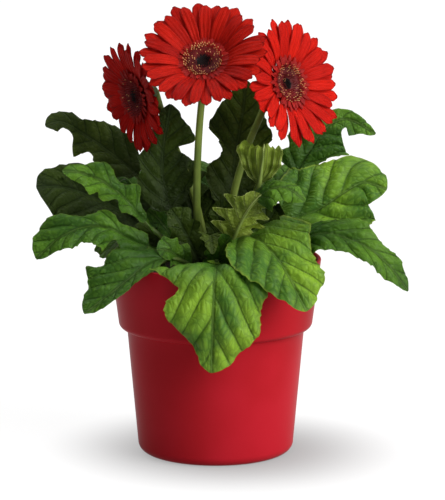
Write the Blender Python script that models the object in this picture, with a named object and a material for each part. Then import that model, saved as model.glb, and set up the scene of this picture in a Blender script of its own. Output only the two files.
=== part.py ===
# Potted gerbera: a plant with three blooms and a rosette of lobed leaves,
# growing from soil in a round florist's pot with a deep collar.
# Sizes are in millimetres and are scaled to metres where a mesh is made.
# The origin is the centre of the pot's flat underside, +Z is up,
# and the side that the plant is seen from is -Y.

import math
import random

import bmesh
import bpy
from mathutils import Matrix, Vector

MM = 0.001
GAP = 0.3

# Pot: a turned tub with a collar that is a little wider than its wall.
POT_HEIGHT = 154.0
RIM_RADIUS = 82.5
COLLAR_FOOT_RADIUS = 76.0
COLLAR_HEIGHT = 55.0
WALL_TOP_RADIUS = 69.5
WALL_FOOT_RADIUS = 60.5
FOOT_ROUND = 8.0
LIP_ROUND = 5.0
WALL_THICKNESS = 3.0
FLOOR_THICKNESS = 4.0
FLOOR_CORNER = 1.0
POT_SIDES = 40

# Soil, and the blind hole that each stalk stands in.
SOIL_TOP = 142.0
HOLE_DEPTH = 10.0
HOLE_SIDES = 6
HOLE_CLEARANCE = 0.8

# Leaves: a round stalk that flattens into a lobed blade.
STALK_RADIUS = 2.2
BLADE_THICKNESS = 0.9
MIDRIB_DEPTH = 1.3
STALK_TAPER = 0.2
BLADE_ENDS = (1.3, 1.0)
WAVE_STEP = 1.9
WAVE_SHIFT = 1.6
STALK_RINGS = 4
BLADE_STATIONS = 10

# Flower stems and the green cup under each bloom.
STEM_RADIUS = 3.0
STEM_SIDES = 8
STEM_STEPS = 9
STEM_THINNING = 0.05
STEM_END = 12.0
CUP_PROFILE = [(9.5, 5.0), (5.0, 9.4), (2.0, 11.5), (0.0, 10.3)]

# Blooms: heights are measured along the way a bloom looks, from its ring of florets.
PETAL_THICKNESS = 0.8
PETAL_WIDTH = 9.6
PETAL_COUNT = 36
PETAL_SHAPE = [(0.1, 0.46), (0.5, 0.92), (0.84, 0.92), (1.0, 0.34)]
PETAL_RISE_POWER = 2.2
PETAL_ANGLE_SPREAD = 0.1
PETAL_TWIST = 6.0
PETAL_REACH_SPREAD = (0.96, 1.03)
FRONT_ROW_REACH = 0.95
BACK_ROW_DROP = 2.2
CORE_RADIUS = 12.5
CORE_BANDS = (-10.0, -8.7, -8.0, -6.7)
DISC_SECTORS = 28

# Each leaf lists its stalk from the soil's surface up, then its blade from base to tip.
# "left" and "right" are the blade's half widths at even stations from base to tip, seen from
# the upper side with the tip ahead: they give each leaf its lobes and notches.
# "face" is where the upper side looks, "back" how far the base lobes reach behind the stalk,
# "fold" how far the sides rise (or droop, below zero) for each millimetre of width, at the base
# and at the tip, and "wave" the height of the ripples along the edge.
LEAVES = {
    "leaf_front": dict(
        stalk=[(0, -21), (1, -42, 158)],
        blade=[(1, -64, 160), (0, -86, 160), (-1, -100, 141), (-2, -106, 112), (-3, -104, 84)],
        face=(0, -0.7, 0.7),
        left=(16, 24, 34, 40, 36, 35, 35, 27, 17),
        right=(30, 50, 40, 27, 36, 36, 26, 16, 10),
        back=8, fold=(0.12, -0.22), wave=1.5, columns=7,
    ),
    "leaf_front_right": dict(
        stalk=[(11, -18), (17, -27, 165)],
        blade=[(23, -36, 178), (36, -58, 177), (50, -80, 164), (60, -94, 148), (68, -102, 131)],
        face=(0.1, -0.6, 0.8),
        left=(36, 41, 43, 35, 30, 27, 26, 26, 15),
        right=(27, 33, 29, 23, 20, 17, 18, 15, 9),
        back=10, fold=(0.05, -0.1), wave=1.5, columns=7,
    ),
    "leaf_right_low": dict(
        stalk=[(19, -10), (36, -19, 161)],
        blade=[(56, -27, 171), (84, -40, 181), (112, -52, 174), (132, -54, 158), (147, -52, 137)],
        face=(0.15, -0.65, 0.75),
        left=(8, 10, 13, 17, 20, 15, 10, 11, 9),
        right=(16, 23, 21, 15, 20, 19, 15, 12, 7),
        back=6, fold=(0.1, 0.0), wave=2.0, columns=7,
    ),
    "leaf_right": dict(
        stalk=[(21, 0), (36, 1, 168)],
        blade=[(56, 2, 184), (80, 5, 192), (98, 8, 203), (116, 12, 212), (134, 10, 206)],
        face=(0, -0.85, 0.55),
        left=(30, 38, 40, 36, 33, 30, 26, 20, 13),
        right=(22, 28, 30, 32, 33, 32, 28, 20, 12),
        back=8, fold=(0.08, -0.1), wave=1.5, columns=7,
    ),
    "leaf_right_high": dict(
        stalk=[(17, 12), (36, 26, 185)],
        blade=[(63, 38, 215), (75, 44, 233), (87, 50, 249), (105, 54, 256), (127, 52, 244)],
        face=(0, -0.9, 0.45),
        left=(24, 16, 22, 17, 14, 11, 8, 6, 4),
        right=(10, 12, 18, 29, 25, 11, 8, 13, 6),
        back=4, fold=(0.1, 0.0), wave=1.5, columns=5,
    ),
    "leaf_top": dict(
        stalk=[(3, 12.5), (8, 26, 170)],
        blade=[(11, 38, 188), (14, 48, 214), (18, 55, 240), (22, 60, 264), (24, 62, 286)],
        face=(0, -1, 0.15),
        left=(16, 20, 21, 12, 15, 25, 22, 18, 11),
        right=(16, 20, 23, 19, 22, 27, 20, 16, 10),
        back=2, fold=(0.15, 0.1), wave=1.5, columns=5,
    ),
    "leaf_left_tall": dict(
        stalk=[(-11, -3), (-24, -5, 168)],
        blade=[(-35, -3, 192), (-41, 0, 214), (-41, 2, 236), (-38, 3, 256), (-35, 3, 274)],
        face=(0.1, -1, 0.2),
        left=(14, 18, 20, 17, 19, 13, 12, 10, 7),
        right=(16, 22, 24, 20, 22, 11, 23, 19, 10),
        back=3, fold=(0.05, 0.05), wave=1.5, columns=5,
    ),
    "leaf_left_high": dict(
        stalk=[(-18, 11), (-38, 26, 185)],
        blade=[(-62, 36, 214), (-84, 40, 232), (-104, 40, 246), (-122, 36, 256), (-134, 32, 253)],
        face=(0.1, -0.85, 0.5),
        left=(10, 16, 16, 16, 11, 20, 8, 5, 8),
        right=(12, 16, 20, 20, 19, 13, 9, 11, 8),
        back=4, fold=(0.1, 0.0), wave=1.5, columns=5,
    ),
    "leaf_left": dict(
        stalk=[(-21, 3), (-36, 7, 160)],
        blade=[(-56, 10, 176), (-78, 12, 192), (-102, 12, 203), (-124, 10, 209), (-140, 6, 208)],
        face=(0, -0.75, 0.65),
        left=(16, 20, 20, 18, 20, 20, 20, 17, 12),
        right=(18, 22, 22, 20, 22, 24, 24, 21, 15),
        back=6, fold=(0.1, -0.05), wave=1.5, columns=7,
    ),
    "leaf_left_bright": dict(
        stalk=[(-20, -6), (-38, -15, 168)],
        blade=[(-54, -22, 186), (-68, -28, 204), (-84, -32, 218), (-102, -35, 226), (-117, -36, 227)],
        face=(0.2, -0.8, 0.55),
        left=(5, 7, 12, 8, 15, 10, 18, 11, 6),
        right=(5, 8, 15, 8, 9, 13, 12, 9, 6),
        back=2, fold=(0.2, 0.0), wave=2.0, columns=5,
    ),
    "leaf_left_low": dict(
        stalk=[(-16, -13), (-34, -22, 158)],
        blade=[(-52, -31, 168), (-72, -39, 180), (-92, -44, 187), (-114, -47, 180), (-134, -47, 165)],
        face=(0, -0.8, 0.6),
        left=(24, 20, 7, 22, 18, 13, 17, 13, 13),
        right=(9, 9, 7, 13, 10, 11, 19, 21, 18),
        back=4, fold=(0.1, 0.0), wave=1.5, columns=7,
    ),
    "leaf_left_front": dict(
        stalk=[(-9, -19), (-25, -35, 157)],
        blade=[(-40, -48, 162), (-53, -62, 160), (-65, -71, 151), (-82, -77, 138), (-99, -80, 125)],
        face=(-0.1, -0.65, 0.75),
        left=(8, 11, 12, 12, 12, 11, 10, 9, 6),
        right=(14, 20, 26, 30, 32, 26, 22, 20, 10),
        back=4, fold=(0.05, 0.0), wave=1.5, columns=7,
    ),
    "leaf_inner_upright": dict(
        stalk=[(10.5, -4.5), (17, -14, 168), (27, -24, 196)],
        blade=[(32, -28, 210), (35, -30, 221), (37, -31, 232), (38, -32, 242), (39, -33, 250)],
        face=(0, 1, 0.3),
        left=(12, 18, 19, 18, 16, 14, 12, 10, 9),
        right=(10, 14, 16, 17, 18, 20, 22, 21, 17),
        back=2, fold=(0.2, 0.1), wave=1.0, columns=5,
    ),
    "leaf_inner_folded": dict(
        stalk=[(4, -9.5), (10, -28, 168), (20, -42, 192)],
        blade=[(30, -46, 208), (40, -49, 216), (50, -51, 218), (60, -52, 214), (68, -52, 206)],
        face=(0, -0.5, 0.85),
        left=(8, 12, 14, 14, 13, 12, 11, 9, 6),
        right=(10, 16, 18, 16, 14, 12, 10, 8, 5),
        back=2, fold=(-0.4, -0.4), wave=1.0, columns=5,
    ),
    "leaf_middle": dict(
        stalk=[(-12, 5), (-14, 10, 165)],
        blade=[(-17, 14, 182), (-21, 17, 196), (-25, 19, 210), (-28, 21, 222), (-30, 22, 234)],
        face=(0, -1, 0.2),
        left=(10, 18, 12, 19, 13, 20, 14, 16, 9),
        right=(10, 18, 11, 18, 12, 19, 13, 13, 8),
        back=2, fold=(0.1, 0.1), wave=1.0, columns=5,
    ),
    "leaf_young": dict(
        stalk=[(-4.5, -10.5), (-5, -30, 164)],
        blade=[(-4, -39, 173), (-4, -46, 179), (-4, -54, 181), (-3, -61, 176), (-2, -66, 168)],
        face=(0, -0.6, 0.8),
        left=(4, 7, 5, 9, 6, 8, 5, 5, 3),
        right=(4, 7, 5, 9, 6, 8, 5, 5, 3),
        back=1, fold=(0.2, 0.0), wave=0.5, columns=5,
    ),
    "leaf_back_right": dict(
        stalk=[(9, 19), (26, 38, 165)],
        blade=[(40, 54, 188), (52, 72, 206), (62, 90, 213), (72, 106, 206), (79, 118, 190)],
        face=(0, 0.2, 1),
        left=(16, 26, 15, 28, 17, 28, 21, 21, 11),
        right=(17, 25, 15, 27, 16, 28, 20, 20, 12),
        back=5, fold=(0.1, -0.1), wave=2.0, columns=5,
    ),
    "leaf_back": dict(
        stalk=[(-2, 21), (-3, 42, 165)],
        blade=[(-4, 54, 186), (-5, 72, 207), (-6, 92, 216), (-7, 111, 209), (-8, 124, 190)],
        face=(0, 0.2, 1),
        left=(16, 26, 15, 28, 17, 28, 21, 21, 11),
        right=(17, 25, 15, 27, 16, 28, 20, 20, 12),
        back=6, fold=(0.1, -0.1), wave=2.0, columns=5,
    ),
    "leaf_back_left": dict(
        stalk=[(-11, 18), (-28, 36, 165)],
        blade=[(-42, 52, 186), (-56, 70, 203), (-70, 88, 208), (-82, 102, 200), (-91, 112, 184)],
        face=(0, 0.2, 1),
        left=(16, 26, 15, 28, 17, 28, 21, 21, 11),
        right=(17, 25, 15, 27, 16, 28, 20, 20, 12),
        back=5, fold=(0.1, -0.1), wave=2.0, columns=5,
    ),
    "leaf_back_low": dict(
        stalk=[(5, 29.5), (8, 46, 153)],
        blade=[(14, 60, 160), (21, 77, 172), (27, 95, 176), (31, 109, 165), (33, 117, 145)],
        face=(0, -0.1, 1),
        left=(12, 18, 14, 22, 15, 24, 19, 20, 11),
        right=(18, 26, 16, 27, 16, 28, 20, 20, 12),
        back=4, fold=(0.1, -0.15), wave=1.5, columns=5,
    ),
    "leaf_back_middle": dict(
        stalk=[(-12, 29), (-18, 45, 153)],
        blade=[(-22, 62, 161), (-26, 79, 173), (-30, 96, 174), (-33, 109, 162), (-35, 115, 142)],
        face=(0, -0.1, 1),
        left=(12, 18, 13, 23, 15, 24, 18, 18, 10),
        right=(12, 17, 12, 20, 14, 23, 18, 18, 11),
        back=4, fold=(0.1, -0.15), wave=1.5, columns=5,
    ),
    "leaf_back_left_low": dict(
        stalk=[(-21, 21), (-34, 34, 156)],
        blade=[(-48, 42, 163), (-63, 53, 165), (-76, 64, 160), (-85, 74, 150), (-91, 82, 138)],
        face=(-0.3, 0.3, 0.9),
        left=(12, 20, 12, 22, 14, 22, 15, 16, 8),
        right=(13, 20, 11, 22, 14, 21, 15, 15, 8),
        back=3, fold=(0.1, -0.1), wave=1.5, columns=5,
    ),
    "leaf_back_right_low": dict(
        stalk=[(28, 10), (41, 22, 158)],
        blade=[(54, 36, 168), (72, 48, 172), (88, 59, 168), (100, 67, 158), (108, 73, 146)],
        face=(0.3, 0.3, 0.9),
        left=(12, 20, 12, 22, 14, 22, 15, 16, 8),
        right=(13, 20, 11, 22, 14, 21, 15, 15, 8),
        back=3, fold=(0.1, -0.1), wave=1.5, columns=5,
    ),
}

# Each bloom has the middle of its ring of florets, the way it looks, its petals' reach, how far
# their tips stand in front of that ring, how far those that point down sag, and a random seed.
BLOOMS = {
    "left": dict(
        centre=(-65.5, -2, 279.5), look=(-0.84, -0.5, -0.19), reach=43, rise=2, sag=2, seed=3,
        stem=[(-4, 8.5), (-14, 9, 190), (-22, 11, 215), (-32, 13, 240), (-41, 11, 264)],
    ),
    "centre": dict(
        centre=(-9.5, -30, 313), look=(-0.1, -0.74, 0.665), reach=48.3, rise=9, sag=1, seed=5,
        stem=[(-3, 0), (-11, -3, 172), (-16, -7, 203), (-14, -9, 240), (-11, -9, 274)],
    ),
    "right": dict(
        centre=(59, 8, 290), look=(0.71, -0.645, 0.28), reach=49.7, rise=4.5, sag=1, seed=8,
        stem=[(5.5, 2), (9, 3, 172), (15, 4, 207), (25, 7, 240), (36, 12, 266)],
    ),
}

COLOURS = {
    "pot": (0.42, 0.018, 0.028, 1),
    "soil": (0.045, 0.028, 0.018, 1),
    "leaf": (0.075, 0.18, 0.035, 1),
    "stem": (0.13, 0.19, 0.055, 1),
    "petal": (0.5, 0.012, 0.008, 1),
    "disc": (0.1, 0.012, 0.01, 1),
}
ROUGHNESS = {"pot": 0.3, "soil": 0.95, "leaf": 0.45, "stem": 0.55, "petal": 0.6, "disc": 0.8}


def clear_scene():
    for item in list(bpy.data.objects):
        bpy.data.objects.remove(item, do_unlink=True)


def make_material(name, kind):
    material = bpy.data.materials.new(name)
    material.use_nodes = True
    shader = material.node_tree.nodes["Principled BSDF"]
    shader.inputs["Base Color"].default_value = COLOURS[kind]
    shader.inputs["Roughness"].default_value = ROUGHNESS[kind]
    shader.inputs["Metallic"].default_value = 0.0
    return material


def add_object(name, bm, kind, smooth=40):
    # The mesh is built in millimetres and scaled to metres here.
    bmesh.ops.scale(bm, vec=(MM, MM, MM), verts=bm.verts)
    bmesh.ops.recalc_face_normals(bm, faces=bm.faces)
    mesh = bpy.data.meshes.new(name)
    bm.to_mesh(mesh)
    bm.free()
    mesh.shade_smooth()
    mesh.set_sharp_from_angle(angle=math.radians(smooth))
    item = bpy.data.objects.new(name, mesh)
    bpy.context.collection.objects.link(item)
    mesh.materials.append(make_material(name + "_material", kind))
    return item


def arc(centre, radius, start, end, steps):
    # Points on an arc in the radius-height plane, from one angle to another in degrees.
    points = []
    for step in range(steps + 1):
        angle = math.radians(start + (end - start) * step / steps)
        points.append((centre[0] + radius * math.cos(angle), centre[1] + radius * math.sin(angle)))
    return points


def turn(profile, sides):
    # Turns a list of (radius, height) about Z; the first and last points close on the axis.
    bm = bmesh.new()
    rings = []
    for radius, height in profile:
        if radius < 1e-6:
            rings.append([bm.verts.new((0, 0, height))])
            continue
        ring = []
        for side in range(sides):
            angle = 2 * math.pi * side / sides
            ring.append(bm.verts.new((radius * math.cos(angle), radius * math.sin(angle), height)))
        rings.append(ring)
    for low, high in zip(rings, rings[1:]):
        for side in range(sides):
            after = (side + 1) % sides
            if len(low) == 1:
                bm.faces.new((low[0], high[side], high[after]))
            elif len(high) == 1:
                bm.faces.new((low[side], low[after], high[0]))
            else:
                bm.faces.new((low[side], low[after], high[after], high[side]))
    return bm


def wall_radius(height):
    # Outer radius of the tapered wall under the collar.
    part = height / (POT_HEIGHT - COLLAR_HEIGHT)
    return WALL_FOOT_RADIUS + (WALL_TOP_RADIUS - WALL_FOOT_RADIUS) * part


def inner_profile(clearance):
    # Inside of the pot from its floor to its rim, as (radius, height), drawn in by a clearance.
    step_height = POT_HEIGHT - COLLAR_HEIGHT
    inset = WALL_THICKNESS + clearance
    return [
        (wall_radius(FLOOR_THICKNESS) - inset - FLOOR_CORNER, FLOOR_THICKNESS + clearance),
        (wall_radius(step_height) - inset, step_height + clearance),
        (COLLAR_FOOT_RADIUS - inset, step_height + LIP_ROUND + clearance),
        (RIM_RADIUS - inset, POT_HEIGHT - WALL_THICKNESS / 2),
    ]


def build_pot():
    step_height = POT_HEIGHT - COLLAR_HEIGHT
    foot = (wall_radius(FOOT_ROUND) - FOOT_ROUND, FOOT_ROUND)
    lip = (COLLAR_FOOT_RADIUS - LIP_ROUND, step_height + LIP_ROUND)
    rim = (RIM_RADIUS - WALL_THICKNESS / 2, POT_HEIGHT - WALL_THICKNESS / 2)
    outside = [(0, 0)]
    outside += arc(foot, FOOT_ROUND, -90, 0, 4)
    outside += [(wall_radius(step_height), step_height)]
    outside += arc(lip, LIP_ROUND, -90, 0, 3)
    outside += arc(rim, WALL_THICKNESS / 2, 0, 180, 4)
    inside = list(reversed(inner_profile(0.0)[:3])) + [(0, FLOOR_THICKNESS)]
    return add_object("pot", turn(outside + inside, POT_SIDES), "pot", smooth=35)


def root_spots():
    # Where every stalk and stem enters the soil, with its radius.
    spots = [(leaf["stalk"][0], STALK_RADIUS) for leaf in LEAVES.values()]
    spots += [(bloom["stem"][0], STEM_RADIUS) for bloom in BLOOMS.values()]
    return spots


def soil_radius():
    # Radius of the soil's surface, just inside the collar.
    low, high = inner_profile(GAP)[2:]
    part = (SOIL_TOP - low[1]) / (high[1] - low[1])
    return low[0] + (high[0] - low[0]) * part


def build_soil():
    body = inner_profile(GAP)[:3]
    profile = [(0, body[0][1])] + body + [(soil_radius(), SOIL_TOP), (0, SOIL_TOP)]
    soil = add_object("soil", turn(profile, POT_SIDES), "soil", smooth=30)
    holes = bpy.data.collections.new("holes")
    for (x, y), radius in root_spots():
        bm = bmesh.new()
        side_radius = (radius + HOLE_CLEARANCE) * MM
        place = Matrix.Translation((x * MM, y * MM, SOIL_TOP * MM))
        bmesh.ops.create_cone(
            bm, cap_ends=True, segments=HOLE_SIDES, radius1=side_radius, radius2=side_radius,
            depth=2 * HOLE_DEPTH * MM, matrix=place,
        )
        mesh = bpy.data.meshes.new("hole")
        bm.to_mesh(mesh)
        bm.free()
        holes.objects.link(bpy.data.objects.new("hole", mesh))
    apply_boolean(soil, holes, "DIFFERENCE")
    return soil


def apply_boolean(target, others, operation):
    # Joins or cuts with every object of a collection at once, then removes those objects.
    bpy.context.scene.collection.children.link(others)
    cut = target.modifiers.new("boolean", "BOOLEAN")
    cut.operation = operation
    cut.operand_type = "COLLECTION"
    cut.collection = others
    cut.solver = "EXACT"
    bpy.context.view_layer.update()
    result = bpy.data.meshes.new_from_object(target.evaluated_get(bpy.context.evaluated_depsgraph_get()))
    target.modifiers.clear()
    target.data = result
    for item in list(others.objects):
        bpy.data.objects.remove(item, do_unlink=True)
    bpy.data.collections.remove(others)


def curve_points(points, steps=12):
    # A smooth curve through the points, as a dense list.
    points = [Vector(point) for point in points]
    dense = []
    last = len(points) - 1
    for index in range(last):
        before = points[max(index - 1, 0)]
        start = points[index]
        end = points[index + 1]
        after = points[min(index + 2, last)]
        leave = (end - before) / 2
        arrive = (after - start) / 2
        for step in range(steps):
            t = step / steps
            place = (2 * t**3 - 3 * t**2 + 1) * start + (t**3 - 2 * t**2 + t) * leave
            place += (3 * t**2 - 2 * t**3) * end + (t**3 - t**2) * arrive
            dense.append(place)
    dense.append(points[-1])
    return dense


def spread(points, count):
    # The same curve at even spacing, with count steps.
    lengths = [0.0]
    for start, end in zip(points, points[1:]):
        lengths.append(lengths[-1] + (end - start).length)
    result = []
    index = 0
    for step in range(count + 1):
        goal = lengths[-1] * step / count
        while index < len(points) - 2 and lengths[index + 1] < goal:
            index += 1
        span = lengths[index + 1] - lengths[index]
        part = (goal - lengths[index]) / span if span else 0.0
        result.append(points[index].lerp(points[index + 1], min(max(part, 0.0), 1.0)))
    return result


def directions(points):
    result = []
    for index in range(len(points)):
        before = points[max(index - 1, 0)]
        after = points[min(index + 1, len(points) - 1)]
        result.append((after - before).normalized())
    return result


def stalk_path(leaf):
    # From the bottom of its hole straight up to the soil's surface, then on to the blade.
    (x, y), *bends = leaf["stalk"]
    foot = Vector((x, y, SOIL_TOP - HOLE_DEPTH + GAP))
    points = [Vector((x, y, SOIL_TOP + 1))] + [Vector(bend) for bend in bends]
    points += [Vector(leaf["blade"][0]), Vector(leaf["blade"][1])]
    dense = curve_points(points)
    return [foot] + dense[:len(dense) - 12]


def blade_path(leaf):
    before = Vector(leaf["stalk"][-1])
    dense = curve_points([before] + [Vector(point) for point in leaf["blade"]])
    return dense[12:]


def blade_grid(leaf):
    # The blade's middle surface: rows of points across it, from base to tip.
    columns = leaf["columns"]
    spine = spread(blade_path(leaf), BLADE_STATIONS)
    face = Vector(leaf["face"]).normalized()
    left = BLADE_ENDS[:1] + leaf["left"] + BLADE_ENDS[1:]
    right = BLADE_ENDS[:1] + leaf["right"] + BLADE_ENDS[1:]
    rows = []
    for station, (middle, ahead) in enumerate(zip(spine, directions(spine))):
        along = station / BLADE_STATIONS
        up = (face - ahead * face.dot(ahead)).normalized()
        side = ahead.cross(up)
        fold = leaf["fold"][0] + (leaf["fold"][1] - leaf["fold"][0]) * along
        row = []
        for column in range(columns):
            across = 2 * column / (columns - 1) - 1
            width = right[station] if across > 0 else left[station]
            sweep = -leaf["back"] * (1 - along) ** 2 * abs(across) ** 1.5
            ripple = leaf["wave"] * math.sin(station * WAVE_STEP + (WAVE_SHIFT if across > 0 else 0.0))
            lift = fold * width * across**2 + ripple * abs(across) ** 1.5 * min(1.0, width / 10)
            if station in (0, BLADE_STATIONS):
                lift = 0.0
                sweep = 0.0
            row.append(middle + side * across * width + ahead * sweep + up * lift)
        rows.append(row)
    return rows


def grid_normals(rows):
    result = []
    for i, row in enumerate(rows):
        line = []
        for j in range(len(row)):
            ahead = rows[min(i + 1, len(rows) - 1)][j] - rows[max(i - 1, 0)][j]
            side = row[min(j + 1, len(row) - 1)] - row[max(j - 1, 0)]
            line.append(side.cross(ahead).normalized())
        result.append(line)
    return result


def blade_rings(leaf):
    # Closed rings round the blade: the upper side from left to right, then the underside back.
    rows = blade_grid(leaf)
    normals = grid_normals(rows)
    middle = leaf["columns"] // 2
    rings = []
    for station, (row, line) in enumerate(zip(rows, normals)):
        along = station / BLADE_STATIONS
        half = BLADE_THICKNESS / 2
        upper = [place + normal * half for place, normal in zip(row, line)]
        lower = [place - normal * half for place, normal in zip(row, line)]
        lower[middle] -= line[middle] * MIDRIB_DEPTH * (1 - along)
        rings.append(upper + lower[::-1])
    return rings[1:]


def stalk_rings(leaf):
    # The stalk has as many points round it as the blade, in the same order.
    sides = 2 * leaf["columns"]
    path = stalk_path(leaf)
    points = [path[0]] + spread(path[1:], STALK_RINGS)
    face = Vector(leaf["face"]).normalized()
    rings = []
    for index, (middle, ahead) in enumerate(zip(points, directions(points))):
        if index < 2:
            ahead = Vector((0, 0, 1))
        up = (face - ahead * face.dot(ahead)).normalized()
        side = ahead.cross(up)
        radius = STALK_RADIUS * (1 - STALK_TAPER * index / len(points))
        ring = []
        for turn_index in range(sides):
            angle = math.pi - 2 * math.pi * (turn_index + 0.5) / sides
            ring.append(middle + (side * math.cos(angle) + up * math.sin(angle)) * radius)
        rings.append(ring)
    return rings


def loft(rings, columns=None):
    # Joins closed rings and caps both ends; the two sides of a blade are split alike.
    bm = bmesh.new()
    count = len(rings[0])
    grid = [[bm.verts.new(place) for place in ring] for ring in rings]
    for low, high in zip(grid, grid[1:]):
        for index in range(count):
            after = (index + 1) % count
            underside = columns is not None and columns <= index < count - 1
            if underside:
                bm.faces.new((low[index], low[after], high[index]))
                bm.faces.new((low[after], high[after], high[index]))
            else:
                bm.faces.new((low[index], low[after], high[after]))
                bm.faces.new((low[index], high[after], high[index]))
    if columns is None:
        bm.faces.new(grid[0][::-1])
        bm.faces.new(grid[-1])
        return bm
    for ring in (grid[0][::-1], grid[-1]):
        for index in range(columns - 1):
            quad = (ring[index], ring[index + 1], ring[count - 2 - index], ring[count - 1 - index])
            bm.faces.new(quad)
    return bm


def build_leaf(name, leaf):
    rings = stalk_rings(leaf) + blade_rings(leaf)
    return add_object(name, loft(rings, leaf["columns"]), "leaf", smooth=60)


def bloom_frame(bloom):
    # Local Z is the way the bloom looks, and local Y points as nearly up as it can.
    look = Vector(bloom["look"]).normalized()
    side = Vector((0, 0, 1)).cross(look).normalized()
    up = look.cross(side)
    frame = Matrix((side, up, look)).transposed().to_4x4()
    frame.translation = Vector(bloom["centre"])
    return frame


def petal_ring(petal, along, width):
    # Four corners across a petal at a distance along it, from its root (0) to its tip (1).
    # It rises steeply beside the florets and flattens towards the tip.
    length = petal["reach"] - CORE_RADIUS
    climb = petal["rise"] - petal["height"]
    outward = Vector((math.cos(petal["angle"]), math.sin(petal["angle"]), 0))
    side = Vector((-outward.y, outward.x, 0))
    middle = outward * (CORE_RADIUS + length * along)
    middle.z = petal["height"] + climb * (1 - (1 - along) ** PETAL_RISE_POWER) - petal["sag"] * along**3
    climbing = climb * PETAL_RISE_POWER * (1 - along) ** (PETAL_RISE_POWER - 1)
    slope = (climbing - 3 * petal["sag"] * along**2) / length
    up = (Vector((0, 0, 1)) - outward * slope).normalized()
    tilt = math.radians(petal["twist"]) * along
    across = (side * math.cos(tilt) + up * math.sin(tilt)) * width / 2
    half = (up * math.cos(tilt) - side * math.sin(tilt)) * PETAL_THICKNESS / 2
    return [middle - across - half, middle + across - half, middle + across + half, middle - across + half]


def build_petals(name, bloom):
    # The petals are drawn out of the sides of a flat core, in turn from its lower and upper band.
    # So there are two rows, and those of the front row stand between those of the back row.
    draw = random.Random(bloom["seed"])
    gravity = bloom_frame(bloom).to_3x3().transposed() @ Vector((0, 0, -1))
    bm = bmesh.new()
    rings = []
    for height in CORE_BANDS:
        ring = []
        for sector in range(PETAL_COUNT):
            angle = 2 * math.pi * (sector - 0.5) / PETAL_COUNT
            ring.append(bm.verts.new((CORE_RADIUS * math.cos(angle), CORE_RADIUS * math.sin(angle), height)))
        rings.append(ring)
    for sector in range(PETAL_COUNT):
        after = (sector + 1) % PETAL_COUNT
        front = sector % 2
        own_band = 2 if front else 0
        row_reach = FRONT_ROW_REACH if front else 1.0
        for band in range(3):
            low = rings[band]
            high = rings[band + 1]
            corners = [low[sector], low[after], high[after], high[sector]]
            if band != own_band:
                bm.faces.new(corners)
                continue
            aside = draw.uniform(-PETAL_ANGLE_SPREAD, PETAL_ANGLE_SPREAD)
            angle = 2 * math.pi * (sector + aside) / PETAL_COUNT
            downward = max(0.0, math.cos(angle) * gravity.x + math.sin(angle) * gravity.y)
            petal = dict(
                angle=angle,
                height=(CORE_BANDS[band] + CORE_BANDS[band + 1]) / 2,
                twist=draw.uniform(-PETAL_TWIST, PETAL_TWIST),
                reach=bloom["reach"] * row_reach * draw.uniform(*PETAL_REACH_SPREAD),
                rise=bloom["rise"] - (0.0 if front else BACK_ROW_DROP),
                sag=bloom["sag"] * downward,
            )
            for along, width in PETAL_SHAPE:
                ring = [bm.verts.new(place) for place in petal_ring(petal, along, PETAL_WIDTH * width)]
                for index in range(4):
                    other = (index + 1) % 4
                    bm.faces.new((corners[index], corners[other], ring[other], ring[index]))
                corners = ring
            bm.faces.new(corners)
    bm.faces.new(rings[0][::-1])
    bm.faces.new(rings[-1])
    bmesh.ops.triangulate(bm, faces=bm.faces)
    petals = add_object(name, bm, "petal", smooth=60)
    place_bloom(petals, bloom)
    return petals


def disc_rings():
    # From the underside's middle, out to the florets' tips and back over to the dark eye:
    # radius, height, and how much every second point differs in each.
    foot = CORE_BANDS[-1] + GAP
    return [
        (9.0, foot, 0.0, 0.0),
        (12.0, foot + 0.9, 0.0, 0.0),
        (15.2, -1.9, 0.6, -0.4),
        (15.0, 0.0, 1.2, 0.8),
        (11.4, -1.6, -0.6, -0.5),
        (8.2, -3.9, 0.5, 0.5),
        (4.2, -4.6, 0.0, 0.4),
    ]


def build_disc(name, bloom):
    # The inner florets stand as a ring of spikes round a sunken eye.
    bm = bmesh.new()
    grid = []
    for radius, height, reach, rise in disc_rings():
        ring = []
        for sector in range(DISC_SECTORS):
            angle = 2 * math.pi * sector / DISC_SECTORS
            pulse = 1.0 if sector % 2 else -1.0
            spot = radius + reach * pulse
            ring.append(bm.verts.new((spot * math.cos(angle), spot * math.sin(angle), height + rise * pulse)))
        grid.append(ring)
    for low, high in zip(grid, grid[1:]):
        for sector in range(DISC_SECTORS):
            after = (sector + 1) % DISC_SECTORS
            bm.faces.new((low[sector], low[after], high[after], high[sector]))
    bottom = bm.verts.new((0, 0, grid[0][0].co.z))
    eye = bm.verts.new((0, 0, grid[-1][0].co.z + 0.3))
    for sector in range(DISC_SECTORS):
        after = (sector + 1) % DISC_SECTORS
        bm.faces.new((grid[0][after], grid[0][sector], bottom))
        bm.faces.new((grid[-1][sector], grid[-1][after], eye))
    bmesh.ops.triangulate(bm, faces=bm.faces)
    disc = add_object(name, bm, "disc")
    place_bloom(disc, bloom)
    return disc


def place_bloom(item, bloom):
    frame = bloom_frame(bloom)
    item.rotation_euler = frame.to_euler()
    item.location = frame.translation * MM


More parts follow.
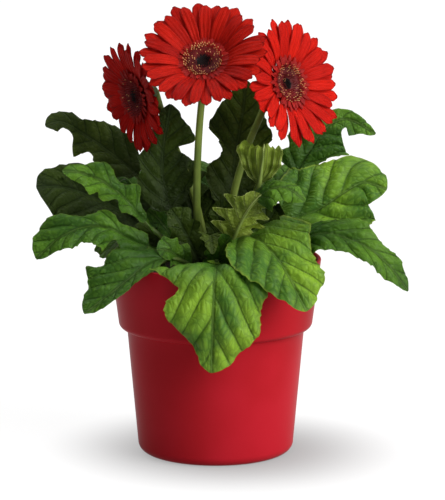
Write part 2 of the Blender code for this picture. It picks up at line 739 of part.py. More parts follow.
def build_stem(name, bloom):
    # The stem and the green cup that holds the bloom are one piece.
    frame = bloom_frame(bloom)
    look = frame.to_3x3() @ Vector((0, 0, 1))
    seat = frame.translation + look * (CORE_BANDS[0] - GAP)
    (x, y), *bends = bloom["stem"]
    foot = Vector((x, y, SOIL_TOP - HOLE_DEPTH + GAP))
    points = [Vector((x, y, SOIL_TOP + 1))] + [Vector(bend) for bend in bends] + [seat - look * STEM_END]
    path = [foot] + spread(curve_points(points), STEM_STEPS)
    radii = [STEM_RADIUS] * 2 + [STEM_RADIUS - STEM_THINNING * step for step in range(1, STEM_STEPS + 1)]
    for depth, radius in CUP_PROFILE:
        path.append(seat - look * depth)
        radii.append(radius)
    rings = []
    side = Vector((1, 0, 0))
    for index, (middle, ahead) in enumerate(zip(path, directions(path))):
        if index < 2:
            ahead = Vector((0, 0, 1))
        if index > STEM_STEPS + 1:
            ahead = look
        side = (side - ahead * side.dot(ahead)).normalized()
        up = ahead.cross(side)
        ring = []
        for turn_index in range(STEM_SIDES):
            angle = 2 * math.pi * turn_index / STEM_SIDES
            ring.append(middle + (side * math.cos(angle) + up * math.sin(angle)) * radii[index])
        rings.append(ring)
    return add_object(name, loft(rings), "stem", smooth=50)


def main():
    clear_scene()
    build_pot()
    build_soil()
    for name, leaf in LEAVES.items():
        build_leaf(name, leaf)
    for side, bloom in BLOOMS.items():
        build_stem("stem_" + side, bloom)
        build_petals("petals_" + side, bloom)
        build_disc("disc_" + side, bloom)


main()
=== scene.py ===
# Potted gerbera in a red collared pot, dressed for a plain studio picture.
# Lengths in the dictionaries are millimetres; finishPiece turns each mesh into metres.
import math
import random

import bmesh
import bpy
from mathutils import Matrix, Vector, noise


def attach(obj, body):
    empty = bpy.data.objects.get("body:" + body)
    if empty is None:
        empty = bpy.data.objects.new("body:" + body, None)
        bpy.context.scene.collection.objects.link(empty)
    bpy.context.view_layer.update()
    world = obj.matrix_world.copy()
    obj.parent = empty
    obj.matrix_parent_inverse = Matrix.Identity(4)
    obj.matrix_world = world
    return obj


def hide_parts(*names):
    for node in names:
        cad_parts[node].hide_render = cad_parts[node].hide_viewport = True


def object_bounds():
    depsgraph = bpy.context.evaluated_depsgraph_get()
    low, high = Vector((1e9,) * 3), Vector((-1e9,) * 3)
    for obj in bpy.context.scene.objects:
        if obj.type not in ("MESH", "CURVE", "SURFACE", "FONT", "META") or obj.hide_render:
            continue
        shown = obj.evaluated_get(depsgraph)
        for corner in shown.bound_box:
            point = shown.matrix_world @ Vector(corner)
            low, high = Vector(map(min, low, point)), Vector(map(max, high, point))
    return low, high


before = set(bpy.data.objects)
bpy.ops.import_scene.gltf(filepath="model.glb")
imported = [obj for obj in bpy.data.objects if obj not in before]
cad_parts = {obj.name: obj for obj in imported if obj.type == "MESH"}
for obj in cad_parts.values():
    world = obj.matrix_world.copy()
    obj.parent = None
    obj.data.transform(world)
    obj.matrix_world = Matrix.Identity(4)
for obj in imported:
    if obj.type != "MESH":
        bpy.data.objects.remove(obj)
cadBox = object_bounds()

mm = 0.001
turn = 2 * math.pi


def addObject(name, data):
    made = bpy.data.objects.new(name, data)
    bpy.context.collection.objects.link(made)
    return made


def meshObject(name, bm):
    mesh = bpy.data.meshes.new(name)
    bm.to_mesh(mesh)
    bm.free()
    return addObject(name, mesh)


def aimAt(thing, place, target):
    thing.location = place
    thing.rotation_euler = (Vector(target) - Vector(place)).to_track_quat("-Z", "Y").to_euler()


# Camera: the photograph's viewing angle, from in front at -Y.
cameraSettings = {
    "target": (5.4, 0.0, 159.6), "distance": 2100.0, "lookDown": 10.0, "lens": 193.5, "sensor": 36.0,
}


def addCamera():
    settings = cameraSettings
    tilt = math.radians(settings["lookDown"])
    target = Vector(settings["target"]) * mm
    data = bpy.data.cameras.new("photoCamera")
    data.lens = settings["lens"]
    data.sensor_width = settings["sensor"]
    camera = addObject("photoCamera", data)
    back = Vector((0, -math.cos(tilt), math.sin(tilt))) * settings["distance"] * mm
    aimAt(camera, target + back, target)
    bpy.context.scene.camera = camera


# Studio: a white floor and surround lit by two wide suns, with one soft panel for the pot's sheen.
# "from", "at" and the painted shadow's sizes are in metres, "spread" is a sun's width in degrees and
# "side" the panel's side in metres. The surround runs from its first brightness at the left to its
# second.
studioSettings = {
    "surround": (0.04, 0.85), "surroundEdges": (-0.9, 0.9),
    "floorSide": 60.0, "floorColour": (0.15, 0.15, 0.15, 1), "floorRoughness": 0.9,
    "paintedShadowReach": (0.03, 0.158), "paintedShadowGlow": (0.3, 0.86), "paintedShadowMiddle": (0.01, 0, 0), "spill": 0.6,
}
sunSettings = {
    "key": {"from": (2.2, -1.55, 1.8), "at": (0, 0, 0.15), "spread": 45.0, "strength": 3.5},
    "back": {"from": (-0.7, 0.5, 2.3), "at": (0, 0, 0.15), "spread": 50.0, "strength": 1.7},
}
panelSettings = {"from": (1.15, -1.05, 0.45), "at": (0, 0, 0.1), "side": 0.5, "power": 2.6}


def addSurround():
    world = bpy.data.worlds.new("studio")
    world.use_nodes = True
    tree = world.node_tree
    backdrop = tree.nodes["Background"].inputs
    backdrop["Color"].default_value = (1, 1, 1, 1)
    toSide = splitVector(tree, addNode(tree, "ShaderNodeTexCoord").outputs["Generated"])[0]
    edges = studioSettings["surroundEdges"]
    tree.links.new(ramp(tree, toSide, *edges, *studioSettings["surround"]), backdrop["Strength"])
    bpy.context.scene.world = world


def addLamps():
    for name, light in sunSettings.items():
        data = bpy.data.lights.new(name, "SUN")
        data.angle = math.radians(light["spread"])
        data.energy = light["strength"]
        aimAt(addObject(name, data), light["from"], light["at"])
    data = bpy.data.lights.new("panel", "AREA")
    data.size = panelSettings["side"]
    data.energy = panelSettings["power"]
    aimAt(addObject("panel", data), panelSettings["from"], panelSettings["at"])
    view = bpy.context.scene.view_settings
    view.view_transform = "Standard"
    view.look = "None"


def addFloor():
    # The paper glows evenly, as if lit from under, and fades to a painted soft shadow round the pot.
    settings = studioSettings
    bm = bmesh.new()
    bmesh.ops.create_grid(bm, x_segments=1, y_segments=1, size=settings["floorSide"] / 2)
    floor = meshObject("floor", bm)
    material, tree, sockets = newMaterial(
        "paperFloor", Roughness=settings["floorRoughness"], Specular_IOR_Level=0.0,
    )
    sockets["Base Color"].default_value = settings["floorColour"]
    sockets["Emission Color"].default_value = (1, 1, 1, 1)
    spots = {0: objectCoords(tree), 1: settings["paintedShadowMiddle"]}
    away = addNode(tree, "ShaderNodeVectorMath", spots, operation="DISTANCE").outputs["Value"]
    # Painted shadow: the glow drops near the pot, as a soft shadow round its foot.
    glowWithPaintedShadow = ramp(tree, away, *settings["paintedShadowReach"], *settings["paintedShadowGlow"])
    seen = addNode(tree, "ShaderNodeLightPath").outputs["Is Camera Ray"]
    share = ramp(tree, seen, 0.0, 1.0, settings["spill"], 1.0)
    tree.links.new(times(tree, glowWithPaintedShadow, share), sockets["Emission Strength"])
    floor.data.materials.append(material)


# Node helpers
def addNode(tree, kind, inputs=None, **settings):
    node = tree.nodes.new(kind)
    for key, value in settings.items():
        setattr(node, key, value)
    for key, value in (inputs or {}).items():
        if isinstance(value, bpy.types.NodeSocket):
            tree.links.new(value, node.inputs[key])
        else:
            node.inputs[key].default_value = value
    return node


def calc(tree, operation, first, second=0.0):
    return addNode(tree, "ShaderNodeMath", {0: first, 1: second}, operation=operation).outputs[0]


def times(tree, first, second):
    return calc(tree, "MULTIPLY", first, second)


def fromMiddle(tree, value):
    # How far a value is from one half, either way.
    return calc(tree, "ABSOLUTE", calc(tree, "SUBTRACT", value, 0.5))


def ramp(tree, value, low, high, start=0.0, end=1.0):
    inputs = {"Value": value, "From Min": low, "From Max": high, "To Min": start, "To Max": end}
    return addNode(tree, "ShaderNodeMapRange", inputs, interpolation_type="SMOOTHSTEP").outputs[0]


def blendColour(tree, factor, *pair):
    inputs = {0: factor}
    for slot, colour in zip((6, 7), pair):
        inputs[slot] = (*colour, 1) if isinstance(colour, tuple) else colour
    return addNode(tree, "ShaderNodeMix", inputs, data_type="RGBA").outputs[2]


def paint(tree, body, colour, mask, share=None):
    # One more colour over the body, where the mask says and as strong as its share.
    return blendColour(tree, mask if share is None else times(tree, mask, share), body, colour)


def newGroup(name, inputs, outputs):
    tree = bpy.data.node_groups.new(name, "ShaderNodeTree")
    for direction, labels in (("INPUT", inputs), ("OUTPUT", outputs)):
        for label in labels:
            kind = "NodeSocketVector" if label == "Vector" else "NodeSocketFloat"
            tree.interface.new_socket(label, in_out=direction, socket_type=kind)
    start = tree.nodes.new("NodeGroupInput")
    end = tree.nodes.new("NodeGroupOutput")
    return tree, start.outputs, end.inputs


def newMaterial(name, **fixed):
    # A Principled material whose uniform values are set on its own sockets.
    material = bpy.data.materials.new(name)
    material.use_nodes = True
    shader = material.node_tree.nodes["Principled BSDF"]
    for key, value in fixed.items():
        shader.inputs[key.replace("_", " ")].default_value = value
    return material, material.node_tree, shader.inputs


def objectCoords(tree):
    return addNode(tree, "ShaderNodeTexCoord").outputs["Object"]


def splitVector(tree, vector):
    return addNode(tree, "ShaderNodeSeparateXYZ", {0: vector}).outputs


def splitUv(tree, layer):
    return splitVector(tree, addNode(tree, "ShaderNodeUVMap", uv_map=layer).outputs[0])


def addBump(tree, sockets, height, strength, distance, invert=False):
    inputs = {"Height": height, "Strength": strength, "Distance": distance * mm}
    bump = addNode(tree, "ShaderNodeBump", inputs, invert=invert)
    tree.links.new(bump.outputs[0], sockets["Normal"])


# Veins. "lean" is how far a side vein runs forward for each millimetre aside. The pairs say how
# far from its middle a line starts to fade and where it ends.
veinLook = {
    "lean": 1.2, "crease": (0.2, 1.5), "midCrease": (0.5, 2.4), "rib": (0.05, 0.4), "ribShare": 0.45,
    "midRib": (0.25, 0.75), "netScale": 0.26, "net": (0.0, 0.1), "cell": (0.0, 0.4),
}


def buildVeinGroup():
    # Creases where Phase is whole, the midrib where Lateral is zero, and a fine net between them.
    look = veinLook
    tree, inputs, outputs = newGroup(
        "leafVeins", ("Phase", "Lateral", "Spacing"), ("Crease", "Rib", "Net", "Cell"),
    )
    part = calc(tree, "FRACT", calc(tree, "ADD", inputs["Phase"], 0.5))
    offset = times(tree, fromMiddle(tree, part), inputs["Spacing"])
    aside = calc(tree, "ABSOLUTE", inputs["Lateral"])
    run = times(tree, inputs["Phase"], inputs["Spacing"])
    run = calc(tree, "ADD", run, times(tree, aside, look["lean"]))
    spot = addNode(tree, "ShaderNodeCombineXYZ", {0: run, 1: inputs["Lateral"]}).outputs[0]
    cells = {"Vector": spot, "Scale": look["netScale"]}
    cells = addNode(tree, "ShaderNodeTexVoronoi", cells, feature="DISTANCE_TO_EDGE")
    away = cells.outputs["Distance"]
    sideCrease = ramp(tree, offset, *look["crease"], 1.0, 0.0)
    sideRib = ramp(tree, offset, *look["rib"], look["ribShare"], 0.0)
    results = {
        "Crease": calc(tree, "MAXIMUM", sideCrease, ramp(tree, aside, *look["midCrease"], 1.0, 0.0)),
        "Rib": calc(tree, "MAXIMUM", sideRib, ramp(tree, aside, *look["midRib"], 1.0, 0.0)),
        "Net": ramp(tree, away, *look["net"], 1.0, 0.0),
        "Cell": ramp(tree, away, *look["cell"]),
    }
    for label, result in results.items():
        tree.links.new(result, outputs[label])
    return tree


def buildMottleGroup():
    # Soft blotches, and a fine grain for bumps.
    tree, inputs, outputs = newGroup(
        "softMottle", ("Vector", "Coarse", "Fine"), ("Blotch", "Grain"),
    )
    coarse = {"Vector": inputs["Vector"], "Scale": inputs["Coarse"], "Detail": 3.0}
    fine = {"Vector": inputs["Vector"], "Scale": inputs["Fine"], "Detail": 2.0}
    blotch = addNode(tree, "ShaderNodeTexNoise", coarse).outputs[0]
    tree.links.new(ramp(tree, blotch, 0.35, 0.68), outputs["Blotch"])
    tree.links.new(addNode(tree, "ShaderNodeTexNoise", fine).outputs[0], outputs["Grain"])
    return tree


veinGroup = buildVeinGroup()
mottleGroup = buildMottleGroup()


def addMottle(tree, coarse, fine):
    inputs = {"Vector": objectCoords(tree), "Coarse": coarse, "Fine": fine}
    return addNode(tree, "ShaderNodeGroup", inputs, node_tree=mottleGroup).outputs


# Leaf finishes: the upper side's deep and lit greens, its creases (painted shade), midrib and edge.
# All tones but olive are one green painted from shade to light, darker for leaves in the plant's
# shade and lighter for leaves facing the key light; olive is the paler leaf's own colour.
leafTones = {
    "dark": {
        "deep": (0.02, 0.039, 0.003), "lit": (0.047, 0.084, 0.006), "crease": (0.009, 0.02, 0.002),
        "rib": (0.05, 0.09, 0.018), "edge": (0.06, 0.1, 0.02), "edgeShare": 0.3, "roughness": 0.55,
    },
    "paintedDusk": {
        "deep": (0.035, 0.061, 0.005), "lit": (0.085, 0.13, 0.011), "crease": (0.012, 0.026, 0.003),
        "rib": (0.07, 0.11, 0.02), "edge": (0.09, 0.14, 0.02), "edgeShare": 0.35, "roughness": 0.55,
    },
    "middle": {
        "deep": (0.041, 0.122, 0.012), "lit": (0.13, 0.285, 0.02), "crease": (0.013, 0.046, 0.005),
        "rib": (0.11, 0.2, 0.03), "edge": (0.18, 0.26, 0.03), "edgeShare": 0.45, "roughness": 0.46,
    },
    "bright": {
        "deep": (0.08, 0.21, 0.024), "lit": (0.28, 0.48, 0.036), "crease": (0.02, 0.066, 0.008),
        "rib": (0.17, 0.3, 0.05), "edge": (0.32, 0.4, 0.04), "edgeShare": 0.5, "roughness": 0.42,
    },
    "olive": {
        "deep": (0.14, 0.2, 0.026), "lit": (0.34, 0.45, 0.055), "crease": (0.05, 0.08, 0.012),
        "rib": (0.62, 0.72, 0.26), "edge": (0.58, 0.66, 0.22), "edgeShare": 0.75, "roughness": 0.5,
    },
}
# The underside is paler and more olive, and its veins stand out light.
leafSides = {
    "Top": {"tint": (1.0, 1.0, 1.0), "rougher": 0.0, "crease": 0.6},
    "Underside": {"tint": (1.15, 1.15, 1.3), "rougher": 0.2, "crease": 0.85},
}
leafFinish = {
    "mottle": (30.0, 900.0), "specular": 0.2, "veinSpacing": 15.0, "cell": 0.3, "net": 0.22, "rib": 0.6,
    "paintedBaseShade": (0.5, 0.6), "paintedBaseDarkShade": (0.38, 0.5), "edgeFrom": 0.468, "bump": (0.7, 0.9),
    "cellHeight": 0.8, "grainHeight": 0.3, "creaseDepth": 0.6,
}


def leafMaterial(toneName, sideName):
    look = leafFinish
    tone = leafTones[toneName]
    side = leafSides[sideName]
    under = sideName == "Underside"
    roughness = tone["roughness"] + side["rougher"]
    material, tree, sockets = newMaterial(
        toneName + "Leaf" + sideName, Roughness=roughness, Specular_IOR_Level=look["specular"],
    )
    deep, lit = [tuple(a * b for a, b in zip(tone[key], side["tint"])) for key in ("deep", "lit")]
    crease = tone["rib"] if under else tone["crease"]
    run = splitUv(tree, "veins")
    across, along = splitUv(tree, "blade")[:2]
    inputs = {"Phase": run[0], "Lateral": run[1], "Spacing": look["veinSpacing"]}
    veins = addNode(tree, "ShaderNodeGroup", inputs, node_tree=veinGroup).outputs
    soft = addMottle(tree, *look["mottle"])
    body = blendColour(tree, soft["Blotch"], deep, lit)
    # Painted light and shade from the relief: the raised cells are painted lighter, and on the upper
    # side the net and vein creases darker; the underside's creases take the pale vein colour.
    body = paint(tree, body, lit, veins["Cell"], look["cell"])
    body = paint(tree, body, crease, veins["Net"], look["net"])
    body = paint(tree, body, crease, veins["Crease"], side["crease"])
    body = paint(tree, body, tone["rib"], veins["Rib"], look["rib"])
    # Painted shade at the blade's base, where the leaves crowd the plant's middle.
    body = paint(tree, body, deep, ramp(tree, along, 0.0, *look["paintedBaseShade"], 0.0))
    body = paint(tree, body, crease, ramp(tree, along, 0.0, *look["paintedBaseDarkShade"], 0.0))
    edge = ramp(tree, fromMiddle(tree, across), look["edgeFrom"], 0.5)
    body = paint(tree, body, tone["edge"], edge, tone["edgeShare"])
    tree.links.new(body, sockets["Base Color"])
    grain = times(tree, soft["Grain"], look["grainHeight"])
    height = calc(tree, "ADD", times(tree, veins["Cell"], look["cellHeight"]), grain)
    height = calc(tree, "SUBTRACT", height, times(tree, veins["Crease"], look["creaseDepth"]))
    addBump(tree, sockets, height, *look["bump"], invert=under)
    return material


# Lengthwise streaks and soft blotches, for stalks, stems, bracts and florets.
streakFinish = {
    "mottle": (60.0, 1400.0), "specular": 0.25, "streaks": 5.0, "waver": 0.5, "blotch": 0.6,
    "streak": 0.4, "bump": (0.25, 0.3),
}


def streakMaterial(name, deep, lit, roughness):
    look = streakFinish
    material, tree, sockets = newMaterial(
        name, Roughness=roughness, Specular_IOR_Level=look["specular"],
    )
    soft = addMottle(tree, *look["mottle"])
    spot = addNode(tree, "ShaderNodeCombineXYZ", {0: splitUv(tree, "blade")[0]}).outputs[0]
    waves = {"Vector": spot, "Scale": look["streaks"], "Distortion": look["waver"]}
    streak = times(tree, addNode(tree, "ShaderNodeTexWave", waves).outputs["Fac"], look["streak"])
    share = calc(tree, "ADD", times(tree, soft["Blotch"], look["blotch"]), streak)
    tree.links.new(blendColour(tree, share, deep, lit), sockets["Base Color"])
    addBump(tree, sockets, soft["Grain"], *look["bump"])
    return material


# Mesh helpers
curveSteps = 12  # points between two of a curve's own
noVeins = (0.5, 5.0)  # the second UV map where no vein runs


def smoothCurve(points):
    # A smooth curve through the points, as a dense list.
    points = [Vector(point) for point in points]
    dense = []
    last = len(points) - 1
    for index in range(last):
        start, end = points[index:index + 2]
        leave = (end - points[max(index - 1, 0)]) / 2
        arrive = (points[min(index + 2, last)] - start) / 2
        for step in range(curveSteps):
            dense.append(hermite(start, end, leave, arrive, step / curveSteps))
    dense.append(points[-1])
    return dense


def hermite(start, end, leave, arrive, t):
    place = (2 * t**3 - 3 * t**2 + 1) * start + (t**3 - 2 * t**2 + t) * leave
    return place + (3 * t**2 - 2 * t**3) * end + (t**3 - t**2) * arrive


def evenPoints(points, count):
    # The same curve at even spacing, and its length.
    lengths = [0.0]
    for start, end in zip(points, points[1:]):
        lengths.append(lengths[-1] + (end - start).length)
    result = []
    index = 0
    for step in range(count + 1):
        goal = lengths[-1] * step / count
        while index < len(points) - 2 and lengths[index + 1] < goal:
            index += 1
        span = lengths[index + 1] - lengths[index]
        share = (goal - lengths[index]) / span if span else 0.0
        result.append(points[index].lerp(points[index + 1], min(max(share, 0.0), 1.0)))
    return result, lengths[-1]


def headings(points):
    for index in range(len(points)):
        before, after = points[max(index - 1, 0)], points[min(index + 1, len(points) - 1)]
        yield points[index], (after - before).normalized()


def curveFrames(points, face):
    # Middle, ahead, side and up at each point, with up turned as near to face as it can be.
    face = Vector(face).normalized()
    frames = []
    for middle, ahead in headings(points):
        up = (face - ahead * face.dot(ahead)).normalized()
        frames.append((middle, ahead, ahead.cross(up), up))
    return frames


def frameAt(frames, along):
    spot = min(max(along, 0.0), 1.0) * (len(frames) - 1)
    index = min(int(spot), len(frames) - 2)
    return [first.lerp(second, spot - index) for first, second in zip(*frames[index:index + 2])]


def smoothValue(values, along):
    # A smooth curve through evenly spaced values.
    last = len(values) - 1
    spot = min(max(along, 0.0), 1.0) * last
    index = min(int(spot), last - 1)
    start, end = values[index:index + 2]
    leave = (end - values[max(index - 1, 0)]) / 2
    arrive = (values[min(index + 2, last)] - start) / 2
    return hermite(start, end, leave, arrive, spot - index)


def waver(x, y, z):
    return noise.noise(Vector((x, y, z)))


def upTo(value, full):
    # Rises from 0 and stays at 1 from the full value on.
    return min(1.0, value / full)


def past(value, limit):
    return max(0.0, value - limit)


def spoke(angle):
    # Outward and sideways at an angle about local Z.
    outward = Vector((math.cos(angle), math.sin(angle), 0))
    return outward, Vector((-outward.y, outward.x, 0))


def swing(side, up, angle):
    return side * math.cos(angle) + up * math.sin(angle)


def newMesh():
    bm = bmesh.new()
    bm.loops.layers.uv.new("blade")
    bm.loops.layers.uv.new("veins")
    return bm


def addGrid(bm, columns, rows, place, slot=0):
    # A grid laid out by place(u, v), which gives a point and the values of the second UV map.
    blade = bm.loops.layers.uv["blade"]
    veins = bm.loops.layers.uv["veins"]
    made = bmesh.ops.create_grid(bm, x_segments=columns, y_segments=rows, size=0.5)["verts"]
    spots = {vert: (vert.co.x + 0.5, vert.co.y + 0.5) for vert in made}
    faces = list({face for vert in made for face in vert.link_faces})
    second = {}
    for vert, (u, v) in spots.items():
        vert.co, second[vert] = place(u, v)
    for face in faces:
        face.material_index = slot
        for loop in face.loops:
            loop[blade].uv = spots[loop.vert]
            loop[veins].uv = second[loop.vert]
    return made, faces, spots


def addTube(bm, columns, rows, place, slot=0):
    # A grid rolled into a tube: its seam is merged and both ends are closed.
    made, faces, spots = addGrid(bm, columns, rows, place, slot)
    seam = [vert for vert in made if spots[vert][0] < 1e-6 or spots[vert][0] > 1 - 1e-6]
    bmesh.ops.remove_doubles(bm, verts=seam, dist=1e-6)
    rim = {edge for vert in made if vert.is_valid for edge in vert.link_edges if edge.is_boundary}
    for face in bmesh.ops.holes_fill(bm, edges=list(rim), sides=0)["faces"]:
        face.material_index = slot


def addShell(bm, columns, rows, place, thickness, slot=0, underSlot=1):
    # A grid with a second side and a rim, as a closed blade.
    made, faces, spots = addGrid(bm, columns, rows, place, slot)
    for item in faces + made:
        item.normal_update()
    grown = bmesh.ops.extrude_face_region(bm, geom=faces, use_keep_orig=True)["geom"]
    pairs = [item for item in grown if isinstance(item, bmesh.types.BMVert)]
    for verts, direction in ((pairs, 0.5), (made, -0.5)):
        for vert in verts:
            vert.co += vert.normal * thickness * direction
    bmesh.ops.reverse_faces(bm, faces=faces)
    for face in faces:
        face.material_index = underSlot


# Nothing stands out of the frame's own box.
boxMargin = 0.2
boxLimits = [
    [cadBox[0][axis] / mm + (boxMargin if axis < 2 else 0) for axis in range(3)],
    [cadBox[1][axis] / mm - boxMargin for axis in range(3)],
]


def finishPiece(name, bm, materials, node, smooth=60):
    # Millimetres become metres, and the piece takes the place of its CAD node.
    bmesh.ops.recalc_face_normals(bm, faces=bm.faces)
    for vert in bm.verts:
        vert.co = [min(max(value, low), high) for value, low, high in zip(vert.co, *boxLimits)]
    bmesh.ops.scale(bm, vec=(mm, mm, mm), verts=bm.verts)
    piece = meshObject(name, bm)
    piece.data.shade_smooth()
    piece.data.set_sharp_from_angle(angle=math.radians(smooth))
    for material in materials:
        piece.data.materials.append(material)
    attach(piece, "root")
    if node:
        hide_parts(node)


# Pot: outside sizes as in the frame, with finer rounds.
potSizes = {
    "height": 154.0, "rim": 82.5, "collarFoot": 76.0, "collar": 55.0, "wallTop": 69.5, "wallFoot": 60.5,
    "footRound": 8.0, "lipRound": 5.0, "wall": 3.0, "floor": 4.0, "lipCrease": 2.0, "lipStep": 0.4,
    "roundSteps": 10, "wallSteps": 8, "collarSteps": 5, "sides": 160,
}
potFinish = {
    "deep": (0.32, 0.008, 0.013), "lit": (0.36, 0.01, 0.018), "roughness": 0.33, "sheen": 0.035,
    "mottle": (14.0, 420.0), "bump": (0.06, 0.2),
}


def arcPoints(centre, radius, start, end):
    points = []
    for step in range(potSizes["roundSteps"] + 1):
        angle = math.radians(start + (end - start) * step / potSizes["roundSteps"])
        points.append((centre[0] + radius * math.cos(angle), centre[1] + radius * math.sin(angle)))
    return points


def wallRadius(height):
    share = height / (potSizes["height"] - potSizes["collar"])
    return potSizes["wallFoot"] + (potSizes["wallTop"] - potSizes["wallFoot"]) * share


def evenLine(start, end, steps):
    return [tuple(a + (b - a) * step / steps for a, b in zip(start, end)) for step in range(1, steps)]


def potOutline():
    # Radius and height, from the underside up the outside, over the rim and down to the floor.
    sizes = potSizes
    step = sizes["height"] - sizes["collar"]
    inset = sizes["wall"]
    foot = (wallRadius(sizes["footRound"]) - sizes["footRound"], sizes["footRound"])
    lip = (sizes["collarFoot"] - sizes["lipRound"], step + sizes["lipRound"])
    rim = (sizes["rim"] - inset / 2, sizes["height"] - inset / 2)
    outline = [(0, 0), (foot[0] * 0.6, 0)] + arcPoints(foot, sizes["footRound"], -90, 0)
    wallTop = (wallRadius(step - sizes["lipCrease"]), step - sizes["lipCrease"])
    outline += evenLine(outline[-1], wallTop, sizes["wallSteps"])
    outline += [wallTop, (wallRadius(step) + sizes["lipStep"], step - sizes["lipStep"])]
    collar = arcPoints(lip, sizes["lipRound"], -90, 0)
    edge = arcPoints(rim, inset / 2, 0, 180)
    outline += collar + evenLine(collar[-1], edge[0], sizes["collarSteps"]) + edge
    outline += [(sizes["collarFoot"] - inset, lip[1]), (wallRadius(step) - inset, step)]
    outline += [(wallRadius(sizes["floor"]) - inset - 1, sizes["floor"]), (0, sizes["floor"])]
    return outline


def spinOutline(bm, outline, sides):
    # Turns a list of (radius, height) about Z and merges the poles.
    verts = [bm.verts.new((radius, 0, height)) for radius, height in outline]
    edges = [bm.edges.new(pair) for pair in zip(verts, verts[1:])]
    bmesh.ops.spin(
        bm, geom=verts + edges, cent=(0, 0, 0), axis=(0, 0, 1), angle=turn, steps=sides,
        use_merge=True,
    )
    poles = [vert for vert in bm.verts if math.hypot(vert.co.x, vert.co.y) < 1e-5]
    bmesh.ops.remove_doubles(bm, verts=poles, dist=1e-4)


def potMaterial():
    look = potFinish
    material, tree, sockets = newMaterial(
        "potGlossRed", Roughness=look["roughness"], Specular_IOR_Level=look["sheen"],
    )
    soft = addMottle(tree, *look["mottle"])
    body = blendColour(tree, soft["Blotch"], look["deep"], look["lit"])
    tree.links.new(body, sockets["Base Color"])
    addBump(tree, sockets, soft["Grain"], *look["bump"])
    return material


def buildPot():
    bm = newMesh()
    spinOutline(bm, potOutline(), potSizes["sides"])
    finishPiece("potShell", bm, [potMaterial()], "pot", smooth=35)


# Soil: a crumbly peat surface 12 mm under the rim, just clear of the pot's inside.
soilSettings = {
    "top": 142.0, "gap": 0.3, "taper": 0.125, "edge": 0.4, "lumps": 2.2, "crumbs": 420,
    "crumbSizes": (0.7, 2.4), "crumbShape": (0.75, 1.15), "columns": 90, "rings": 26, "seed": 21,
    "dark": (0.012, 0.008, 0.005), "brown": (0.05, 0.03, 0.016), "pale": (0.2, 0.15, 0.1),
    "paleFrom": (0.66, 0.74), "mottle": (260.0, 1600.0), "bump": (0.8, 0.8), "roughness": 0.95,
}


def soilHeight(x, y):
    lumps = waver(x * 0.09, y * 0.09, 4.0) + 0.5 * waver(x * 0.3, y * 0.3, 9.0)
    return soilSettings["top"] - 1.0 + soilSettings["lumps"] * lumps


def soilMaterial():
    settings = soilSettings
    material, tree, sockets = newMaterial("peatCrumbs", Roughness=settings["roughness"])
    soft = addMottle(tree, *settings["mottle"])
    body = blendColour(tree, soft["Blotch"], settings["dark"], settings["brown"])
    body = paint(tree, body, settings["pale"], ramp(tree, soft["Grain"], *settings["paleFrom"]))
    tree.links.new(body, sockets["Base Color"])
    addBump(tree, sockets, soft["Grain"], *settings["bump"])
    return material


def soilOutline():
    settings = soilSettings
    gap, top, rings = settings["gap"], settings["top"], settings["rings"]
    low = potSizes["floor"] + gap
    step = potSizes["height"] - potSizes["collar"]
    inset = potSizes["wall"] + gap
    edge = potSizes["collarFoot"] - inset + (top - step) * settings["taper"]
    outline = [(0, low), (wallRadius(low) - inset - 1, low), (wallRadius(step) - inset, step)]
    outline.append((potSizes["collarFoot"] - inset, step + potSizes["lipRound"] + gap))
    outline.append((edge - settings["edge"], top - 2))
    outline += [((edge - settings["edge"]) * (1 - ring / rings), top) for ring in range(rings + 1)]
    return outline, edge


def buildSoil():
    settings = soilSettings
    draw = random.Random(settings["seed"])
    bm = newMesh()
    outline, edge = soilOutline()
    spinOutline(bm, outline, settings["columns"])
    for vert in bm.verts:
        if vert.co.z > settings["top"] - 0.5:
            vert.co.z = soilHeight(vert.co.x, vert.co.y)
    for crumb in range(settings["crumbs"]):
        angle = draw.uniform(0, turn)
        radius = (edge - 4) * math.sqrt(draw.uniform(0, 1))
        size = draw.uniform(*settings["crumbSizes"])
        x, y = radius * math.cos(angle), radius * math.sin(angle)
        spot = Vector((x, y, soilHeight(x, y) + size * 0.3))
        for vert in bmesh.ops.create_icosphere(bm, subdivisions=1, radius=size)["verts"]:
            vert.co = vert.co * draw.uniform(*settings["crumbShape"]) + spot
    finishPiece("soilBody", bm, [soilMaterial()], "soil", smooth=50)


